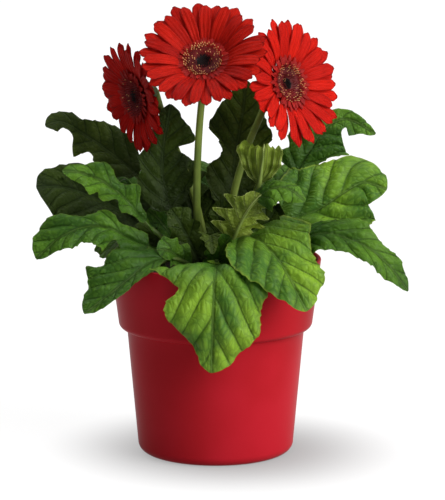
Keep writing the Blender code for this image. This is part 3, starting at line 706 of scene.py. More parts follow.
# Leaves: their paths and outlines follow the solids in the frame. "left" and "right" are half
# widths at even steps from the blade's base to its tip, "fold" is its bend at base and tip, and
# "veins" are the side veins' lean and spacing. usualLeaf holds where a leaf says nothing else.
usualLeaf = {
    "tone": "middle", "back": 4, "fold": (0.1, 0.0), "wave": 1.5, "veins": (1.0, 14.0), "relief": 1.0,
}
farLeaf = {
    "face": (0, 0.2, 1), "fold": (0.1, -0.1), "wave": 2.0,
    "left": (16, 26, 15, 28, 17, 28, 21, 21, 11), "right": (17, 25, 15, 27, 16, 28, 20, 20, 12),
}
farLowLeaf = {
    "back": 3, "fold": (0.1, -0.1), "left": (12, 20, 12, 22, 14, 22, 15, 16, 8),
    "right": (13, 20, 11, 22, 14, 21, 15, 15, 8),
}
leafShapes = {
    "front": {
        "tone": "bright", "stalk": [(0, -21), (1, -42, 158)],
        "blade": [(1, -64, 160), (0, -85, 160), (-1, -98, 141), (-2, -103.5, 112), (-3, -101.5, 84)],
        "face": (0, -0.7, 0.7), "back": 8, "fold": (-0.1, -0.22), "veins": (1.7, 27.0), "relief": 1.25,
        "left": (16, 24, 34, 40, 36, 35, 35, 27, 17), "right": (30, 50, 40, 27, 36, 36, 26, 16, 10),
    },
    "frontRight": {
        "tone": "bright", "stalk": [(11, -18), (17, -27, 165)],
        "blade": [(23, -36, 178), (36, -58, 177), (50, -80, 164), (60, -94, 148), (68, -102, 131)],
        "face": (0.1, -0.6, 0.8), "back": 10, "fold": (0.05, -0.1), "veins": (1.3, 22.0),
        "relief": 1.3, "left": (36, 41, 43, 35, 30, 27, 26, 26, 15),
        "right": (14, 24, 32, 35, 34, 32, 24, 18, 11),
    },
    "rightLow": {
        "stalk": [(19, -10), (36, -19, 161)],
        "blade": [(56, -27, 171), (84, -40, 181), (112, -52, 174), (132, -54, 158), (147, -52, 137)],
        "face": (0.15, -0.65, 0.75), "back": 6, "wave": 2.0, "veins": (1.5, 19.0), "relief": 1.2,
        "left": (8, 10, 13, 17, 20, 15, 10, 11, 9), "right": (20, 28, 27, 22, 14, 15, 15, 12, 7),
    },
    "right": {
        "tone": "bright", "stalk": [(21, 0), (36, 1, 168)],
        "blade": [(56, 2, 184), (80, 5, 192), (98, 8, 203), (116, 12, 212), (134, 10, 206)],
        "face": (0, -0.85, 0.55), "back": 8, "fold": (0.08, -0.1), "veins": (0.9, 19.0), "relief": 1.5,
        "left": (30, 38, 40, 36, 33, 30, 26, 20, 13), "right": (22, 28, 30, 32, 33, 34, 33, 29, 18),
    },
    "rightHigh": {
        "stalk": [(17, 12), (36, 26, 185)],
        "blade": [(63, 38, 215), (75, 44, 233), (87, 50, 249), (105, 54, 256), (127, 52, 244)],
        "face": (0, -0.9, 0.45), "relief": 1.2, "left": (24, 16, 22, 17, 14, 11, 8, 6, 4),
        "right": (10, 12, 18, 29, 25, 11, 8, 13, 6),
    },
    "top": {
        "tone": "paintedDusk", "stalk": [(3, 12.5), (8, 26, 170)],
        "blade": [(11, 38, 188), (14, 48, 214), (18, 55, 240), (22, 60, 264), (24, 62, 286)],
        "face": (0, -1, 0.15), "back": 2, "fold": (0.15, 0.1),
        "left": (16, 20, 21, 12, 15, 25, 22, 18, 11), "right": (16, 20, 23, 19, 22, 27, 20, 16, 10),
    },
    "leftTall": {
        "tone": "dark", "stalk": [(-11, -3), (-24, -5, 168)],
        "blade": [(-35, -3, 192), (-41, 0, 214), (-41, 2, 236), (-38, 3, 256), (-35, 3, 274)],
        "face": (0.1, -1, 0.2), "back": 3, "fold": (0.05, 0.05),
        "left": (14, 18, 20, 17, 19, 13, 12, 10, 7), "right": (16, 22, 24, 20, 22, 11, 23, 19, 10),
    },
    "leftHigh": {
        "tone": "paintedDusk", "stalk": [(-18, 11), (-38, 26, 185)],
        "blade": [(-62, 36, 214), (-84, 40, 232), (-104, 40, 246), (-122, 36, 256), (-134, 32, 253)],
        "face": (0.1, -0.85, 0.5), "left": (10, 16, 16, 16, 11, 20, 8, 5, 8),
        "right": (12, 16, 20, 20, 19, 13, 9, 11, 8),
    },
    "left": {
        "tone": "dark", "stalk": [(-21, 3), (-36, 7, 160)],
        "blade": [(-56, 10, 176), (-78, 12, 192), (-102, 12, 203), (-124, 10, 209), (-140, 6, 208)],
        "face": (0, -0.75, 0.65), "back": 6, "fold": (0.1, -0.05),
        "left": (16, 20, 20, 20, 22, 25, 29, 31, 27), "right": (18, 22, 22, 20, 22, 24, 24, 21, 15),
    },
    "leftBright": {
        "stalk": [(-20, -6), (-38, -15, 168)],
        "blade": [(-54, -22, 186), (-68, -28, 204), (-84, -32, 218), (-102, -35, 226), (-117, -36, 227)],
        "face": (0.2, -0.8, 0.55), "back": 2, "fold": (0.2, 0.0), "wave": 3.2, "relief": 1.6,
        "left": (5, 7, 12, 8, 15, 10, 18, 11, 6), "right": (5, 8, 15, 8, 9, 13, 12, 9, 6),
    },
    "leftLow": {
        "stalk": [(-16, -13), (-34, -22, 158)],
        "blade": [(-52, -31, 168), (-72, -39, 180), (-92, -44, 187), (-116, -47, 180), (-137, -47, 161)],
        "face": (0, -0.8, 0.6), "veins": (1.5, 17.0), "relief": 1.5,
        "left": (24, 20, 7, 22, 18, 13, 14, 10, 6), "right": (9, 9, 7, 13, 10, 11, 17, 18, 15),
    },
    "leftFront": {
        "stalk": [(-9, -19), (-25, -35, 157)],
        "blade": [(-40, -48, 162), (-53, -62, 160), (-65, -71, 151), (-82, -77, 138), (-99, -80, 125)],
        "face": (-0.1, -0.65, 0.75), "fold": (0.05, 0.0), "veins": (1.5, 19.0), "relief": 1.2,
        "left": (7, 9, 9, 9, 8, 8, 8, 7, 5), "right": (14, 20, 26, 28, 27, 25, 33, 20, 13),
    },
    "innerUpright": {
        "tone": "olive", "stalk": [(10.5, -4.5), (17, -14, 168), (28, -25, 200)],
        "blade": [(33, -29, 216), (34.5, -30, 224), (35.5, -31, 232), (36.5, -32, 239), (37, -33, 245)],
        "face": (0, 1, 0.3), "back": 2, "fold": (0.2, 0.1), "wave": 2.5, "relief": 1.6, "fan": 3.5,
        "left": (4, 8, 11, 14, 15, 15, 15, 15, 15), "right": (4, 8, 12, 14, 16, 18, 20, 21, 21),
    },
    "innerFolded": {
        "stalk": [(4, -9.5), (10, -28, 168), (20, -42, 192)],
        "blade": [(30, -46, 208), (40, -49, 216), (50, -51, 218), (60, -52, 214), (68, -52, 206)],
        "face": (0, -0.5, 0.85), "back": 2, "fold": (-0.4, -0.4), "wave": 1.0,
        "left": (8, 12, 14, 14, 13, 12, 11, 9, 6), "right": (10, 16, 18, 16, 14, 12, 10, 8, 5),
    },
    "middle": {
        "tone": "dark", "stalk": [(-12, 5), (-14, 10, 165)],
        "blade": [(-17, 14, 182), (-21, 17, 196), (-25, 19, 210), (-28, 21, 222), (-30, 22, 234)],
        "face": (0, -1, 0.2), "back": 2, "fold": (0.1, 0.1), "wave": 1.0,
        "left": (10, 18, 12, 19, 13, 20, 14, 16, 9), "right": (10, 18, 11, 18, 12, 19, 13, 13, 8),
    },
    "young": {
        "tone": "paintedDusk", "stalk": [(-4.5, -10.5), (-5, -30, 164)],
        "blade": [(-4, -39, 173), (-4, -46, 179), (-4, -54, 181), (-3, -61, 176), (-2, -66, 168)],
        "face": (0, -0.6, 0.8), "back": 1, "fold": (0.2, 0.0), "wave": 0.5,
        "left": (4, 7, 5, 9, 6, 8, 5, 5, 3), "right": (4, 7, 5, 9, 6, 8, 5, 5, 3),
    },
    "backRight": {
        **farLeaf, "stalk": [(9, 19), (26, 38, 165)],
        "blade": [(40, 54, 188), (52, 72, 206), (62, 90, 213), (72, 106, 206), (79, 118, 190)],
        "back": 5,
    },
    "back": {
        **farLeaf, "stalk": [(-2, 21), (-3, 42, 165)],
        "blade": [(-4, 54, 186), (-5, 72, 207), (-6, 92, 216), (-7, 111, 209), (-8, 124, 190)],
        "back": 6,
    },
    "backLeft": {
        **farLeaf, "stalk": [(-11, 18), (-28, 36, 165)],
        "blade": [(-42, 52, 186), (-56, 70, 203), (-70, 88, 208), (-82, 102, 200), (-91, 112, 184)],
        "back": 5,
    },
    "backLow": {
        "stalk": [(5, 29.5), (8, 46, 153)],
        "blade": [(14, 60, 160), (21, 77, 172), (27, 95, 176), (31, 109, 165), (33, 117, 145)],
        "face": (0, -0.1, 1), "fold": (0.1, -0.15), "left": (12, 18, 14, 22, 15, 24, 19, 20, 11),
        "right": (18, 26, 16, 27, 16, 28, 20, 20, 12),
    },
    "backMiddle": {
        "stalk": [(-12, 29), (-18, 45, 153)],
        "blade": [(-22, 62, 161), (-26, 79, 173), (-30, 96, 174), (-33, 109, 162), (-35, 115, 142)],
        "face": (0, -0.1, 1), "fold": (0.1, -0.15), "left": (12, 18, 13, 23, 15, 24, 18, 18, 10),
        "right": (12, 17, 12, 20, 14, 23, 18, 18, 11),
    },
    "backLeftLow": {
        **farLowLeaf, "stalk": [(-21, 21), (-34, 34, 156)],
        "blade": [(-48, 42, 163), (-63, 53, 165), (-76, 64, 160), (-85, 74, 150), (-91, 82, 138)],
        "face": (-0.3, 0.3, 0.9),
    },
    "backRightLow": {
        **farLowLeaf, "stalk": [(28, 10), (41, 22, 158)],
        "blade": [(54, 36, 168), (72, 48, 172), (88, 59, 168), (100, 67, 158), (108, 73, 146)],
        "face": (0.3, 0.3, 0.9),
    },
}
leafDetail = {
    "thickness": 0.6, "step": 1.35, "ends": 0.1, "tooth": 1.7, "toothPitch": 7.5, "toothHook": 1.6,
    "toothDrift": 0.6, "waves": 19, "ripple": 1.2, "ripplePitch": 5.5, "crumple": 0.8, "quilt": 3.0,
    "veinCurve": 0.008, "wander": 3.0, "rib": 0.9, "ribWidth": 1.8, "fanRidge": 1.3, "fanEdge": 5.0,
    "stalk": 2.2, "stalkSides": 10, "stalkRows": 56, "channel": 0.2, "sink": 3.4, "soilFoot": 132.3,
    "soilTop": 142.0, "pathSteps": 60, "stalkSteps": 30, "wing": 7.0, "wingFrom": 0.3,
    "wingLobe": 4.2, "wingLift": 0.35,
}


def halfWidth(leaf, along, right):
    # The outline's half width: rounded at both ends and smooth between its stations.
    values = leaf["right"] if right else leaf["left"]
    ends = leafDetail["ends"]
    if along < ends:
        return max(values[0] * math.sqrt(max(1 - (1 - along / ends) ** 2, 0.0)), 1.3)
    if along <= 1 - ends:
        return smoothValue(values, (along - ends) / (1 - 2 * ends))
    tip = along - (1 - ends)
    if "fan" in leaf:
        return values[-1] * (1 - 2.0 * tip)
    return max(values[-1] * max(1 - (tip / ends) ** 1.5, 0.0) ** 0.7, 1.0)


def bladePlacer(leaf, frames, length, seed):
    detail = leafDetail
    lean, spacing = leaf["veins"]
    relief = detail["quilt"] * leaf["relief"]
    foldBase, foldTip = leaf["fold"]

    def veinPhase(run, across, v, lateral, edgeSeed):
        # Whole numbers lie on the side veins, and halves between them.
        if "fan" in leaf:
            return across * leaf["fan"] + 0.5 * waver(across * 2.5, v, seed)
        forward = lean * lateral + detail["veinCurve"] * lateral**2
        forward += detail["wander"] * waver(run * 0.045, lateral * 0.06, edgeSeed + 3.5)
        return (run - forward) / spacing + 0.37 * seed + (0.5 if across > 0 else 0)

    def place(u, v):
        across = 2 * u - 1
        right = across > 0
        reach = abs(across)
        middle, ahead, side, up = frameAt(frames, v)
        width = halfWidth(leaf, v, right)
        run = v * length
        lateral = reach * width
        edgeSeed = seed + (40 if right else 0)
        uneven = 0.75 + 0.7 * waver(run * 0.06, edgeSeed, 0.5)
        drift = detail["toothDrift"] * waver(run * 0.08, edgeSeed, 7.5)
        hook = ((run / detail["toothPitch"] + drift) % 1.0) ** detail["toothHook"]
        tooth = detail["tooth"] * uneven * (hook - 0.4) * upTo(width, 12)
        phase = veinPhase(run, across, v, lateral, edgeSeed)
        ridge = abs((phase + 0.5) % 1.0 - 0.5) * 2
        quilt = math.sin(math.pi / 2 * ridge) * upTo(lateral, 7) * (1 - 0.5 * reach**3)
        wave = math.sin(v * detail["waves"] + (1.6 if right else 0)) * reach**1.5
        ripple = math.sin(run / detail["ripplePitch"] + edgeSeed) * reach**4
        lift = (foldBase + (foldTip - foldBase) * v) * width * across**2
        lift += leaf["wave"] * wave * upTo(width, 10)
        lift += detail["ripple"] * ripple * upTo(width, 12)
        lift += relief * (quilt - 0.5) * upTo(width, 20)
        lift += detail["crumple"] * waver(across * width * 0.07, run * 0.07, seed)
        lift *= min(upTo(v, detail["ends"]), upTo(1 - v, detail["ends"]))
        lift -= detail["rib"] * math.exp(-((lateral / detail["ribWidth"]) ** 2)) * (1 - v)
        sweep = -leaf["back"] * (1 - v) ** 2 * reach**1.5 * upTo(v, detail["ends"])
        if "fan" in leaf:
            ragged = detail["fanEdge"] * waver(across * 2.0, seed, 1.5)
            sweep += (detail["fanRidge"] * math.cos(turn * phase) + ragged) * v**2
        aside = across * (width + tooth * reach**3)
        return middle + side * aside + ahead * sweep + up * lift, (phase, across * width)

    return place


def stalkPath(leaf):
    # From the soil's top to the blade's base.
    (x, y), *bends = leaf["stalk"]
    top = (x, y, leafDetail["soilTop"] + 1)
    return smoothCurve([top] + bends + leaf["blade"][:2])[:-curveSteps]


def stalkPlacer(leaf, blade, bladeLength):
    # From the soil to the blade's base, then on under the blade as its midrib.
    detail = leafDetail
    foot = Vector((*leaf["stalk"][0], detail["soilFoot"]))
    path, length = evenPoints([foot] + stalkPath(leaf), detail["stalkSteps"])
    lower = curveFrames(path, leaf["face"])
    joint = length / (length + bladeLength)
    thick = detail["stalk"]

    def place(u, v):
        if v < joint:
            middle, ahead, side, up = frameAt(lower, v / joint)
            radius = thick * (1 - 0.2 * v / joint)
        else:
            along = (v - joint) / (1 - joint)
            middle, ahead, side, up = frameAt(blade, along * 0.94)
            radius = thick * 0.7 * (1 - along) ** 0.8 + 0.2
        sink = upTo(past(v, joint * 0.8), joint * 0.25)
        middle = middle - up * sink * (radius + detail["sink"])
        angle = -turn * u
        channel = 1 - detail["channel"] * max(0.0, math.sin(angle)) ** 3
        return middle + swing(side, up, angle) * radius * channel, noVeins

    return place


def wingPlacer(leaf, seed):
    # Narrow lobed wings along the upper part of the stalk, running into the blade.
    detail = leafDetail
    path, length = evenPoints(stalkPath(leaf), detail["stalkSteps"])
    frames = curveFrames(path, leaf["face"])
    breadth = detail["wing"] * (leaf["left"][0] + leaf["right"][0] + 12) / 50

    def place(u, v):
        along = detail["wingFrom"] + 0.72 * v
        across = 2 * u - 1
        middle, ahead, side, up = frameAt(frames, along)
        phase = along * length / detail["wingLobe"] + seed + (2.0 if across > 0 else 0)
        width = breadth * (0.25 + 0.75 * v) * (0.62 + 0.38 * math.sin(phase))
        lift = detail["wingLift"] * width * across**2 + 0.5 * math.sin(along * 17 + seed) * across**2
        return middle + side * across * width + up * (lift - 0.3), (along * 5, across * width)

    return place


leafMaterials = {
    toneName: [leafMaterial(toneName, sideName) for sideName in leafSides] for toneName in leafTones
}
# The stalks' green is darker than the stems' as painted shade, for the shade inside the plant.
stalkGreenPaintedShade = streakMaterial("stalkGreenPaintedShade", (0.03, 0.06, 0.008), (0.075, 0.12, 0.016), 0.55)
stalkPale = streakMaterial("stalkPale", (0.08, 0.12, 0.02), (0.17, 0.23, 0.045), 0.5)


def buildLeaf(name, shape, seed, node=None):
    detail = leafDetail
    leaf = {**usualLeaf, **shape}
    path = smoothCurve([leaf["stalk"][-1]] + leaf["blade"])[curveSteps:]
    path, length = evenPoints(path, detail["pathSteps"])
    frames = curveFrames(path, leaf["face"])
    widest = max(leaf["left"]) + max(leaf["right"])
    rows = int(length / detail["step"])
    columns = 2 * int(widest / detail["step"] / 2 * 0.8) + 2
    bm = newMesh()
    addShell(bm, columns, rows, bladePlacer(leaf, frames, length, seed), detail["thickness"])
    addShell(bm, 10, 30, wingPlacer(leaf, seed), detail["thickness"])
    stalkPlace = stalkPlacer(leaf, frames, length)
    addTube(bm, detail["stalkSides"], detail["stalkRows"], stalkPlace, slot=2)
    stalk = stalkPale if leaf["tone"] == "olive" else stalkGreenPaintedShade
    finishPiece(name + "Leaf", bm, leafMaterials[leaf["tone"]] + [stalk], node)


def nodeName(name):
    # rightLow is leaf_right_low in the frame.
    return "leaf_" + "".join("_" + letter.lower() if letter.isupper() else letter for letter in name)


# Small leaves between the stalks, seen only through the gaps of the big ones.
# Their dark tone is painted shade, for the shade between the stalks.
usualSprout = {
    "tone": "dark", "face": (0, -1, 0.2), "back": 2, "fold": (0.15, 0.1), "wave": 1.8,
    "lobes": (0.6, 0.95, 0.7, 1.0, 0.72, 0.95, 0.7, 0.72, 0.45),
}
innerGrowth = {
    "innerA": {
        "stalk": [(-24, 26), (-27, 28, 147)],
        "blade": [(-30, 30, 152), (-37, 33, 170), (-44, 35, 188), (-48, 36, 206)],
        "face": (0.1, -1, 0.2), "size": 23,
    },
    "innerB": {
        "stalk": [(-6, 34), (-7, 35, 147)],
        "blade": [(-8, 36, 152), (-10, 40, 170), (-12, 42, 188), (-13, 43, 204)], "size": 24,
    },
    "innerC": {
        "stalk": [(15, 30), (17, 32, 147)],
        "blade": [(18, 34, 152), (22, 37, 168), (27, 39, 186), (31, 40, 202)], "size": 24,
    },
    "innerD": {
        "stalk": [(34, 20), (37, 22, 147)],
        "blade": [(39, 24, 153), (46, 28, 168), (54, 30, 181), (61, 31, 190)], "face": (-0.1, -1, 0.3),
        "size": 18,
    },
    "innerE": {
        "stalk": [(42, 2), (45, 1, 147)],
        "blade": [(47, 0, 152), (56, -3, 163), (65, -6, 171), (73, -9, 173)], "face": (0, -0.9, 0.5),
        "size": 15,
    },
    "innerF": {
        "stalk": [(-38, -4), (-40, -6, 147)],
        "blade": [(-42, -8, 152), (-50, -11, 163), (-58, -14, 170), (-66, -17, 172)],
        "face": (0, -0.9, 0.5), "size": 15,
    },
    "innerG": {
        "tone": "olive", "stalk": [(1, -14), (8, -28, 158)],
        "blade": [(11, -36, 168), (15, -41, 180), (21, -45, 193), (28, -48, 204), (35, -49, 211)],
        "face": (0, 1, 0.3), "size": 20, "lobes": (0.4, 0.55, 1.1, 0.5, 1.25, 0.5, 1.0, 0.45, 0.5),
        "veins": (1.0, 11.0),
    },
    "innerH": {
        "tone": "middle", "stalk": [(-20, 14), (-22, 14, 147)],
        "blade": [(-24, 15, 152), (-33, 14, 166), (-43, 13, 180), (-53, 12, 190)],
        "face": (0.2, -1, 0.2), "size": 14,
    },
    "innerI": {
        "tone": "middle", "stalk": [(-18, -24), (-19, -27, 147)],
        "blade": [(-21, -31, 151), (-28, -38, 161), (-36, -43, 167), (-45, -46, 168)],
        "face": (0, -0.8, 0.6), "size": 13,
    },
    "innerJ": {
        "tone": "middle", "stalk": [(0, -26), (0, -29, 147)],
        "blade": [(1, -34, 151), (3, -42, 163), (7, -49, 173), (12, -53, 179)], "face": (0, -0.9, 0.5),
        "size": 12,
    },
    "innerK": {
        "stalk": [(-9, -14), (-10, -15, 147)],
        "blade": [(-12, -17, 152), (-19, -20, 168), (-27, -22, 184), (-35, -24, 196)],
        "face": (0.1, -1, 0.3), "size": 14,
    },
    "innerL": {
        "stalk": [(22, -20), (23, -22, 147)],
        "blade": [(25, -24, 152), (31, -27, 168), (38, -28, 184), (46, -28, 196)],
        "face": (-0.1, -1, 0.3), "size": 15,
    },
    "innerM": {
        "stalk": [(-2, -2), (-2, -4, 147)],
        "blade": [(-1, -6, 152), (2, -10, 168), (4, -12, 184), (5, -13, 202)], "size": 13,
    },
}


def addInnerGrowth():
    for number, (name, sprout) in enumerate(innerGrowth.items()):
        leaf = {**usualSprout, **sprout}
        leaf["left"] = [leaf["size"] * share for share in leaf["lobes"]]
        leaf["right"] = leaf["left"][::-1]
        buildLeaf(name, leaf, number + 41)


# Blooms: local Z is the way a bloom looks, and the origin is the middle of its floret ring.
bloomShapes = {
    "left": {
        "centre": (-65.5, -2, 279.5), "look": (-0.84, -0.5, -0.19), "reach": 43, "rise": 2, "sag": 2,
        "seed": 3, "tone": "paintedShade", "dots": 0.12, "eye": 6.0,
        "stem": [(-4, 8.5), (-14, 9, 190), (-22, 11, 215), (-32, 13, 240), (-41, 11, 264)],
    },
    "centre": {
        "centre": (-9.5, -30, 313), "look": (-0.1, -0.74, 0.665), "reach": 48.3, "rise": 9, "sag": 1,
        "seed": 5, "tone": "middle", "dots": 0.85, "eye": 5.8,
        "stem": [
            (-3, 0), (-11, -2, 158), (-14, -4, 180), (-14.5, -7, 205), (-13.5, -9, 240), (-11, -9, 274),
        ],
    },
    "right": {
        "centre": (59, 8, 290), "look": (0.71, -0.645, 0.28), "reach": 49.7, "rise": 4.5, "sag": 1,
        "seed": 8, "tone": "bright", "dots": 0.75, "eye": 4.4,
        "stem": [(5.5, 2), (9, 3, 172), (15, 4, 207), (25, 7, 240), (36, 12, 266)],
    },
}
petalDetail = {
    "count": 36, "core": 12.5, "width": 9.6, "thickness": 0.5, "bands": (-9.35, -7.35), "backDrop": 2.2,
    "outline": (0.46, 0.58, 0.72, 0.85, 0.95, 1.02, 1.05, 1.05, 1.02, 0.98, 0.92), "columns": 12,
    "rows": 24, "groove": 0.3, "notch": 0.5, "cup": 0.2, "tipRound": 0.9, "tipLength": 1.2,
    "tipFrom": 0.86, "tipSpan": 0.145, "curlFrom": 0.55, "curlRate": 4.9, "tipCurl": 2.5, "climb": 2.2,
    "bend": 2.4, "innerReach": 0.95, "reachSpread": (0.96, 1.03), "twist": 6, "breadth": (0.88, 1.12),
    "coreSeat": (-10.0, 3.3, 0.4), "coreSides": 36,
}
# The three reds are lit and shaded copies of one colour, as painted light and painted shade: one for the
# bloom facing the key light, one for the bloom turned from it and one between.
petalColours = {
    "middle": {
        "root": (0.34, 0.006, 0.005), "body": (0.5, 0.011, 0.006), "fresh": (0.86, 0.024, 0.01),
        "tip": (0.12, 0.002, 0.003), "under": (0.24, 0.004, 0.005),
    },
    "bright": {
        "root": (0.4, 0.006, 0.005), "body": (0.66, 0.012, 0.006), "fresh": (0.95, 0.022, 0.008),
        "tip": (0.2, 0.003, 0.004), "under": (0.34, 0.006, 0.006),
    },
    "paintedShade": {
        "root": (0.26, 0.004, 0.003), "body": (0.52, 0.009, 0.006), "fresh": (0.8, 0.016, 0.009),
        "tip": (0.12, 0.002, 0.003), "under": (0.25, 0.005, 0.005),
    },
}
petalFinish = {
    "roughness": {"Top": 0.5, "Under": 0.62}, "specular": 0.06, "mottle": (120.0, 1500.0),
    "streaks": {"Scale": 2.4, "Distortion": 1.5, "Detail": 2.0, "Detail Scale": 3.0}, "stretch": 0.06,
    "shade": 0.7, "streak": 0.22, "blotch": 0.15, "root": (0.35, 0.8), "tip": (0.93, 0.6),
    "edgeFrom": 0.38, "edgeGrowth": (0.3, 0.95, 0.2, 0.8), "bump": (0.3, 0.25),
}


def bloomFrame(bloom):
    look = Vector(bloom["look"]).normalized()
    side = Vector((0, 0, 1)).cross(look).normalized()
    matrix = Matrix((side, look.cross(side), look)).transposed().to_4x4()
    matrix.translation = Vector(bloom["centre"])
    return matrix


def petalMaterial(toneName, sideName):
    # The first UV map runs across and along a petal; the second holds its shade.
    look = petalFinish
    colours = petalColours[toneName]
    material, tree, sockets = newMaterial(
        toneName + "Petal" + sideName,
        Roughness=look["roughness"][sideName], Specular_IOR_Level=look["specular"],
    )
    across, along = splitUv(tree, "blade")[:2]
    shade = splitUv(tree, "veins")[0]
    soft = addMottle(tree, *look["mottle"])
    spot = {0: across, 1: times(tree, along, look["stretch"])}
    spot = addNode(tree, "ShaderNodeCombineXYZ", spot).outputs[0]
    streak = addNode(tree, "ShaderNodeTexWave", {"Vector": spot, **look["streaks"]}).outputs["Fac"]
    body, fresh = colours["body"], colours["fresh"]
    if sideName == "Under":
        body, fresh = colours["under"], blendColour(tree, 0.5, colours["under"], body)
    tone = blendColour(tree, times(tree, shade, look["shade"]), body, fresh)
    tone = paint(tree, tone, colours["tip"], streak, look["streak"])
    tone = paint(tree, tone, colours["tip"], soft["Blotch"], look["blotch"])
    tone = paint(tree, tone, colours["root"], ramp(tree, along, 0.0, *look["root"], 0.0))
    tip, strength = look["tip"]
    tone = paint(tree, tone, colours["tip"], ramp(tree, along, tip, 1.0, 0.0, strength))
    edge = ramp(tree, fromMiddle(tree, across), look["edgeFrom"], 0.5)
    tone = paint(tree, tone, colours["tip"], edge, ramp(tree, along, *look["edgeGrowth"]))
    tree.links.new(tone, sockets["Base Color"])
    addBump(tree, sockets, calc(tree, "ADD", streak, soft["Grain"]), *look["bump"])
    return material


petalMaterials = {
    toneName: [petalMaterial(toneName, sideName) for sideName in ("Top", "Under")]
    for toneName in petalColours
}


def petalPlacer(petal):
    detail = petalDetail
    outward, side = spoke(petal["angle"])
    length = petal["reach"] - detail["core"]
    climb = petal["rise"] - petal["height"]
    power = detail["climb"]

    def outline(across, v):
        # Half width, and how far the notched and rounded tip falls short of the petal's reach.
        half = detail["width"] * petal["breadth"] * smoothValue(detail["outline"], v) / 2
        half *= math.sqrt(1 - (past(v, detail["tipFrom"]) / detail["tipSpan"]) ** 2)
        notch = abs(math.sin(1.5 * math.pi * across + petal["phase"])) * past(v, 0.8) / 0.2
        rounded = detail["tipRound"] * across**2 * past(v, 0.85) / 0.15
        return half, detail["notch"] * notch + rounded

    def place(u, v):
        across = 2 * u - 1
        half, short = outline(across, v)
        middle = outward * (detail["core"] + length * v - short)
        middle.z = petal["height"] + climb * (1 - (1 - v) ** power) - petal["sag"] * v**3
        middle.z -= petal["curl"] * past(v, detail["curlFrom"]) ** 2 * detail["curlRate"]
        slope = (climb * power * (1 - v) ** (power - 1) - 3 * petal["sag"] * v**2) / length
        up = (Vector((0, 0, 1)) - outward * slope).normalized()
        tilt = math.radians(petal["twist"]) * v
        aside = swing(side, up, tilt)
        above = swing(up, -side, tilt)
        lift = detail["cup"] * (1 - 1.6 * v) * half * across**2
        lift += detail["groove"] * math.cos(3 * math.pi * across) * upTo(v, 0.2) * (1 - 0.4 * v)
        spot = middle + aside * (across * half + petal["bend"] * v**2) + above * lift
        return spot, (petal["shade"], 0.0)

    return place


def corePlace(u, v):
    # The flat core that the petals grow from.
    foot, height, wider = petalDetail["coreSeat"]
    spot = spoke(turn * u)[0] * (petalDetail["core"] + wider)
    spot.z = foot + height * v
    return spot, (0.3, 0.0)


def buildPetals(side, bloom):
    detail = petalDetail
    draw = random.Random(bloom["seed"])
    extra = random.Random(bloom["seed"] + 100)
    matrix = bloomFrame(bloom)
    gravity = matrix.to_3x3().transposed() @ Vector((0, 0, -1))
    bm = newMesh()
    for sector in range(detail["count"]):
        front = sector % 2
        angle = turn * (sector + draw.uniform(-0.1, 0.1)) / detail["count"]
        downward = max(0.0, spoke(angle)[0].dot(gravity))
        petal = {
            "angle": angle, "height": detail["bands"][front], "sag": bloom["sag"] * downward,
            "twist": draw.uniform(-detail["twist"], detail["twist"]),
            "reach": bloom["reach"] * (detail["innerReach"] if front else 1.0),
            "rise": bloom["rise"] - (0.0 if front else detail["backDrop"]),
            "shade": extra.uniform(0, 1), "curl": extra.uniform(-0.8, 1.0) * detail["tipCurl"],
            "bend": extra.uniform(-1, 1) * detail["bend"], "phase": extra.uniform(-0.5, 0.5),
            "breadth": extra.uniform(*detail["breadth"]),
        }
        petal["reach"] *= draw.uniform(*detail["reachSpread"])
        petal["reach"] += detail["tipLength"]
        addShell(bm, detail["columns"], detail["rows"], petalPlacer(petal), detail["thickness"])
    addTube(bm, detail["coreSides"], 4, corePlace, slot=1)
    bm.transform(matrix)
    finishPiece(side + "Petals", bm, petalMaterials[bloom["tone"]], "petals_" + side)


# Discs: a dark dome under short red florets, small florets with tan tips, and a sunken black eye.
discDetail = {
    "dome": [
        (0, -6.4), (9.0, -6.4), (12.0, -5.5), (13.6, -3.6), (12.6, -2.4), (9.5, -2.2), (6.6, -3.2),
        (5.0, -5.2), (0, -5.6),
    ],
    "sides": 48, "eyeFloor": -6.2, "straps": 44, "strapFoot": (11.0, -3.4), "strapReach": (18.0, 21.0),
    "longer": 2.5, "strapRise": (1.6, 3.0), "strapWidth": (2.4, 3.0), "strapLean": 1.0,
    "strapThickness": 0.3, "tubes": 230, "tubeRing": (5.2, 15.0), "tubeFoot": -3.6, "tubeTop": -1.2,
    "tubeClimb": 2.0, "tubeSize": (0.26, 0.4), "tanFrom": 0.72, "buds": 60, "budSize": 0.45,
    "budStretch": 1.7, "budFoot": -5.3, "budClimb": 1.6,
}
discColours = {
    "maroon": ((0.07, 0.003, 0.004), (0.2, 0.006, 0.006)),
    "tan": ((0.5, 0.2, 0.06), (0.85, 0.5, 0.2)),
    "black": ((0.004, 0.001, 0.001), (0.016, 0.002, 0.002)),
    "strap": ((0.3, 0.006, 0.005), (0.5, 0.012, 0.007)),
}
discMaterials = [streakMaterial("disc" + name.title(), *pair, 0.6) for name, pair in discColours.items()]
maroonSlot, tanSlot, blackSlot, strapSlot = range(4)
goldenAngle = math.pi * (3 - math.sqrt(5))


def strapPlacer(strap):
    outward, side = spoke(strap["angle"])
    start, seat = discDetail["strapFoot"]

    def place(u, v):
        across = 2 * u - 1
        half = strap["width"] / 2 * (0.6 + 0.8 * v)
        half *= math.sqrt(max(1 - past(v, 0.5) ** 2 * 3.8, 0.02))
        aside = across * half + strap["lean"] * v
        spot = outward * (start + (strap["reach"] - start) * v) + side * aside
        spot.z = seat + strap["rise"] * (1 - (1 - v) ** 2) + 0.35 * across**2
        return spot, noVeins

    return place


def tubePlacer(foot, tip, radius):
    ahead = (tip - foot).normalized()
    side = ahead.orthogonal().normalized()
    up = ahead.cross(side)

    def place(u, v):
        swell = radius * (0.75 + 0.45 * v) if v < 0.9 else radius * 0.6
        return foot.lerp(tip, v) + swing(side, up, turn * u) * swell, noVeins

    return place


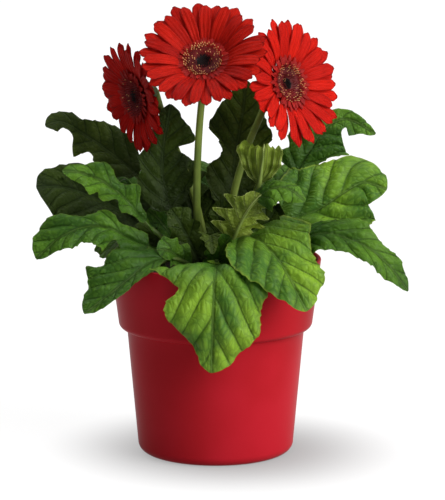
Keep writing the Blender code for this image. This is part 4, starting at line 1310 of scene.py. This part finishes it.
def addStraps(bm, draw):
    detail = discDetail
    for index in range(detail["straps"]):
        strap = {
            "angle": turn * (index + draw.uniform(-0.25, 0.25)) / detail["straps"],
            "reach": draw.uniform(*detail["strapReach"]) + (detail["longer"] if index % 2 else 0),
            "rise": draw.uniform(*detail["strapRise"]), "width": draw.uniform(*detail["strapWidth"]),
            "lean": draw.uniform(-detail["strapLean"], detail["strapLean"]),
        }
        thickness = detail["strapThickness"]
        addShell(bm, 3, 7, strapPlacer(strap), thickness, slot=strapSlot, underSlot=strapSlot)


def addFlorets(bm, draw, dots):
    detail = discDetail
    inner, outer = detail["tubeRing"]
    layer = bm.loops.layers.uv["blade"]
    for index in range(detail["tubes"]):
        share = (index + 0.5) / detail["tubes"]
        radius = math.sqrt(inner**2 + (outer**2 - inner**2) * share) + draw.uniform(-0.3, 0.3)
        outward = spoke(index * goldenAngle)[0]
        foot = outward * (radius - 0.6)
        foot.z = detail["tubeFoot"]
        tip = outward * (radius + 0.6 * share)
        tip.z = detail["tubeTop"] + detail["tubeClimb"] * share + draw.uniform(-0.5, 0.6)
        made = set(bm.faces)
        addTube(bm, 5, 4, tubePlacer(foot, tip, draw.uniform(*detail["tubeSize"])), slot=maroonSlot)
        tanFrom = detail["tanFrom"] if draw.random() < dots * (0.15 + 0.85 * share) else 2.0
        for face in set(bm.faces) - made:
            if sum(loop[layer].uv.y for loop in face.loops) / len(face.loops) > tanFrom:
                face.material_index = tanSlot


def addEye(bm, reach):
    detail = discDetail
    for index in range(detail["buds"]):
        share = math.sqrt((index + 0.5) / detail["buds"])
        spot = spoke(index * goldenAngle)[0] * reach * share
        spot.z = detail["budFoot"] + detail["budClimb"] * share**3
        made = bmesh.ops.create_icosphere(bm, subdivisions=1, radius=detail["budSize"])["verts"]
        for vert in made:
            vert.co.z *= detail["budStretch"]
            vert.co += spot
            for face in vert.link_faces:
                face.material_index = blackSlot


def buildDisc(side, bloom):
    draw = random.Random(bloom["seed"] + 200)
    bm = newMesh()
    spinOutline(bm, discDetail["dome"], discDetail["sides"])
    for face in bm.faces:
        middle = face.calc_center_median()
        if middle.z > discDetail["eyeFloor"] and math.hypot(middle.x, middle.y) < bloom["eye"]:
            face.material_index = blackSlot
    addStraps(bm, draw)
    addFlorets(bm, draw, bloom["dots"])
    addEye(bm, bloom["eye"] - 0.6)
    bm.transform(bloomFrame(bloom))
    finishPiece(side + "Disc", bm, discMaterials, "disc_" + side, smooth=50)


# Stems: round and slightly ribbed, widening into a cup with rows of narrow bracts.
# "cup" gives depth under the bloom's seat and radius, from the stem to the cup's rim.
stemDetail = {
    "radius": 3.0, "taper": 0.15, "ribs": 6, "rib": 0.035, "sides": 20, "rows": 70, "steps": 60,
    "cup": [(13.0, 2.6), (9.5, 5.0), (5.0, 9.4), (2.0, 11.5), (0.0, 10.3)], "seat": 10.3,
    "cupSides": 32, "cupRows": 14, "cupRibs": 20, "cupRib": 0.02, "bractRows": 3, "bracts": 20,
    "bractFrom": 0.12, "bractStep": 0.2, "bractSpan": 0.42, "bractWidth": 2.6, "bractThickness": 0.35,
}
stemMaterials = [
    streakMaterial("stemGreen", (0.07, 0.11, 0.014), (0.15, 0.2, 0.028), 0.5),
    streakMaterial("bractGreen", (0.05, 0.09, 0.02), (0.14, 0.19, 0.045), 0.55),
]


def cupAt(share):
    return [smoothValue(values, share) for values in zip(*stemDetail["cup"])]


def cupPlace(u, v):
    detail = stemDetail
    depth, radius = cupAt(v)
    spot = spoke(turn * u)[0] * radius
    spot *= 1 + detail["cupRib"] * math.cos(detail["cupRibs"] * turn * u)
    spot.z = -detail["seat"] - depth
    return spot, noVeins


def bractPlacer(angle, low):
    outward, side = spoke(angle)

    def place(u, v):
        depth, radius = cupAt(low + stemDetail["bractSpan"] * v)
        half = stemDetail["bractWidth"] / 2 * math.sqrt(max(1 - v**2.2, 0.02))
        spot = outward * (radius + 0.35 + 0.5 * v) + side * (2 * u - 1) * half
        spot.z = -stemDetail["seat"] - depth
        return spot, noVeins

    return place


def stemPlacer(bloom, matrix):
    detail = stemDetail
    look = matrix.to_3x3() @ Vector((0, 0, 1))
    neck = matrix.translation - look * (detail["seat"] + 12)
    (x, y), *bends = bloom["stem"]
    foot = Vector((x, y, leafDetail["soilFoot"]))
    path = smoothCurve([(x, y, leafDetail["soilTop"] + 1)] + bends + [neck])
    frames = []
    aside = Vector((1, 0, 0))
    for middle, ahead in headings(evenPoints([foot] + path, detail["steps"])[0]):
        aside = (aside - ahead * aside.dot(ahead)).normalized()
        frames.append((middle, ahead, aside, ahead.cross(aside)))

    def place(u, v):
        middle, ahead, across, up = frameAt(frames, v)
        angle = turn * u
        radius = detail["radius"] * (1 - detail["taper"] * v)
        radius *= 1 + detail["rib"] * math.cos(detail["ribs"] * angle)
        return middle + swing(across, up, angle) * radius, noVeins

    return place


def buildStem(side, bloom):
    detail = stemDetail
    matrix = bloomFrame(bloom)
    bm = newMesh()
    addTube(bm, detail["cupSides"], detail["cupRows"], cupPlace)
    for row in range(detail["bractRows"]):
        for index in range(detail["bracts"]):
            angle = turn * (index + 0.5 * (row % 2)) / detail["bracts"]
            place = bractPlacer(angle, detail["bractFrom"] + detail["bractStep"] * row)
            addShell(bm, 3, 6, place, detail["bractThickness"], slot=1, underSlot=1)
    bm.transform(matrix)
    addTube(bm, detail["sides"], detail["rows"], stemPlacer(bloom, matrix))
    finishPiece(side + "Stem", bm, stemMaterials, "stem_" + side)


addCamera()
addSurround()
addLamps()
addFloor()
print("studio ready")
buildPot()
buildSoil()
print("pot and soil ready")
for number, (leafName, shape) in enumerate(leafShapes.items()):
    buildLeaf(leafName, shape, number + 1, nodeName(leafName))
addInnerGrowth()
print("leaves ready")
for bloomName, shape in bloomShapes.items():
    buildStem(bloomName, shape)
    buildPetals(bloomName, shape)
    buildDisc(bloomName, shape)
print("blooms ready")
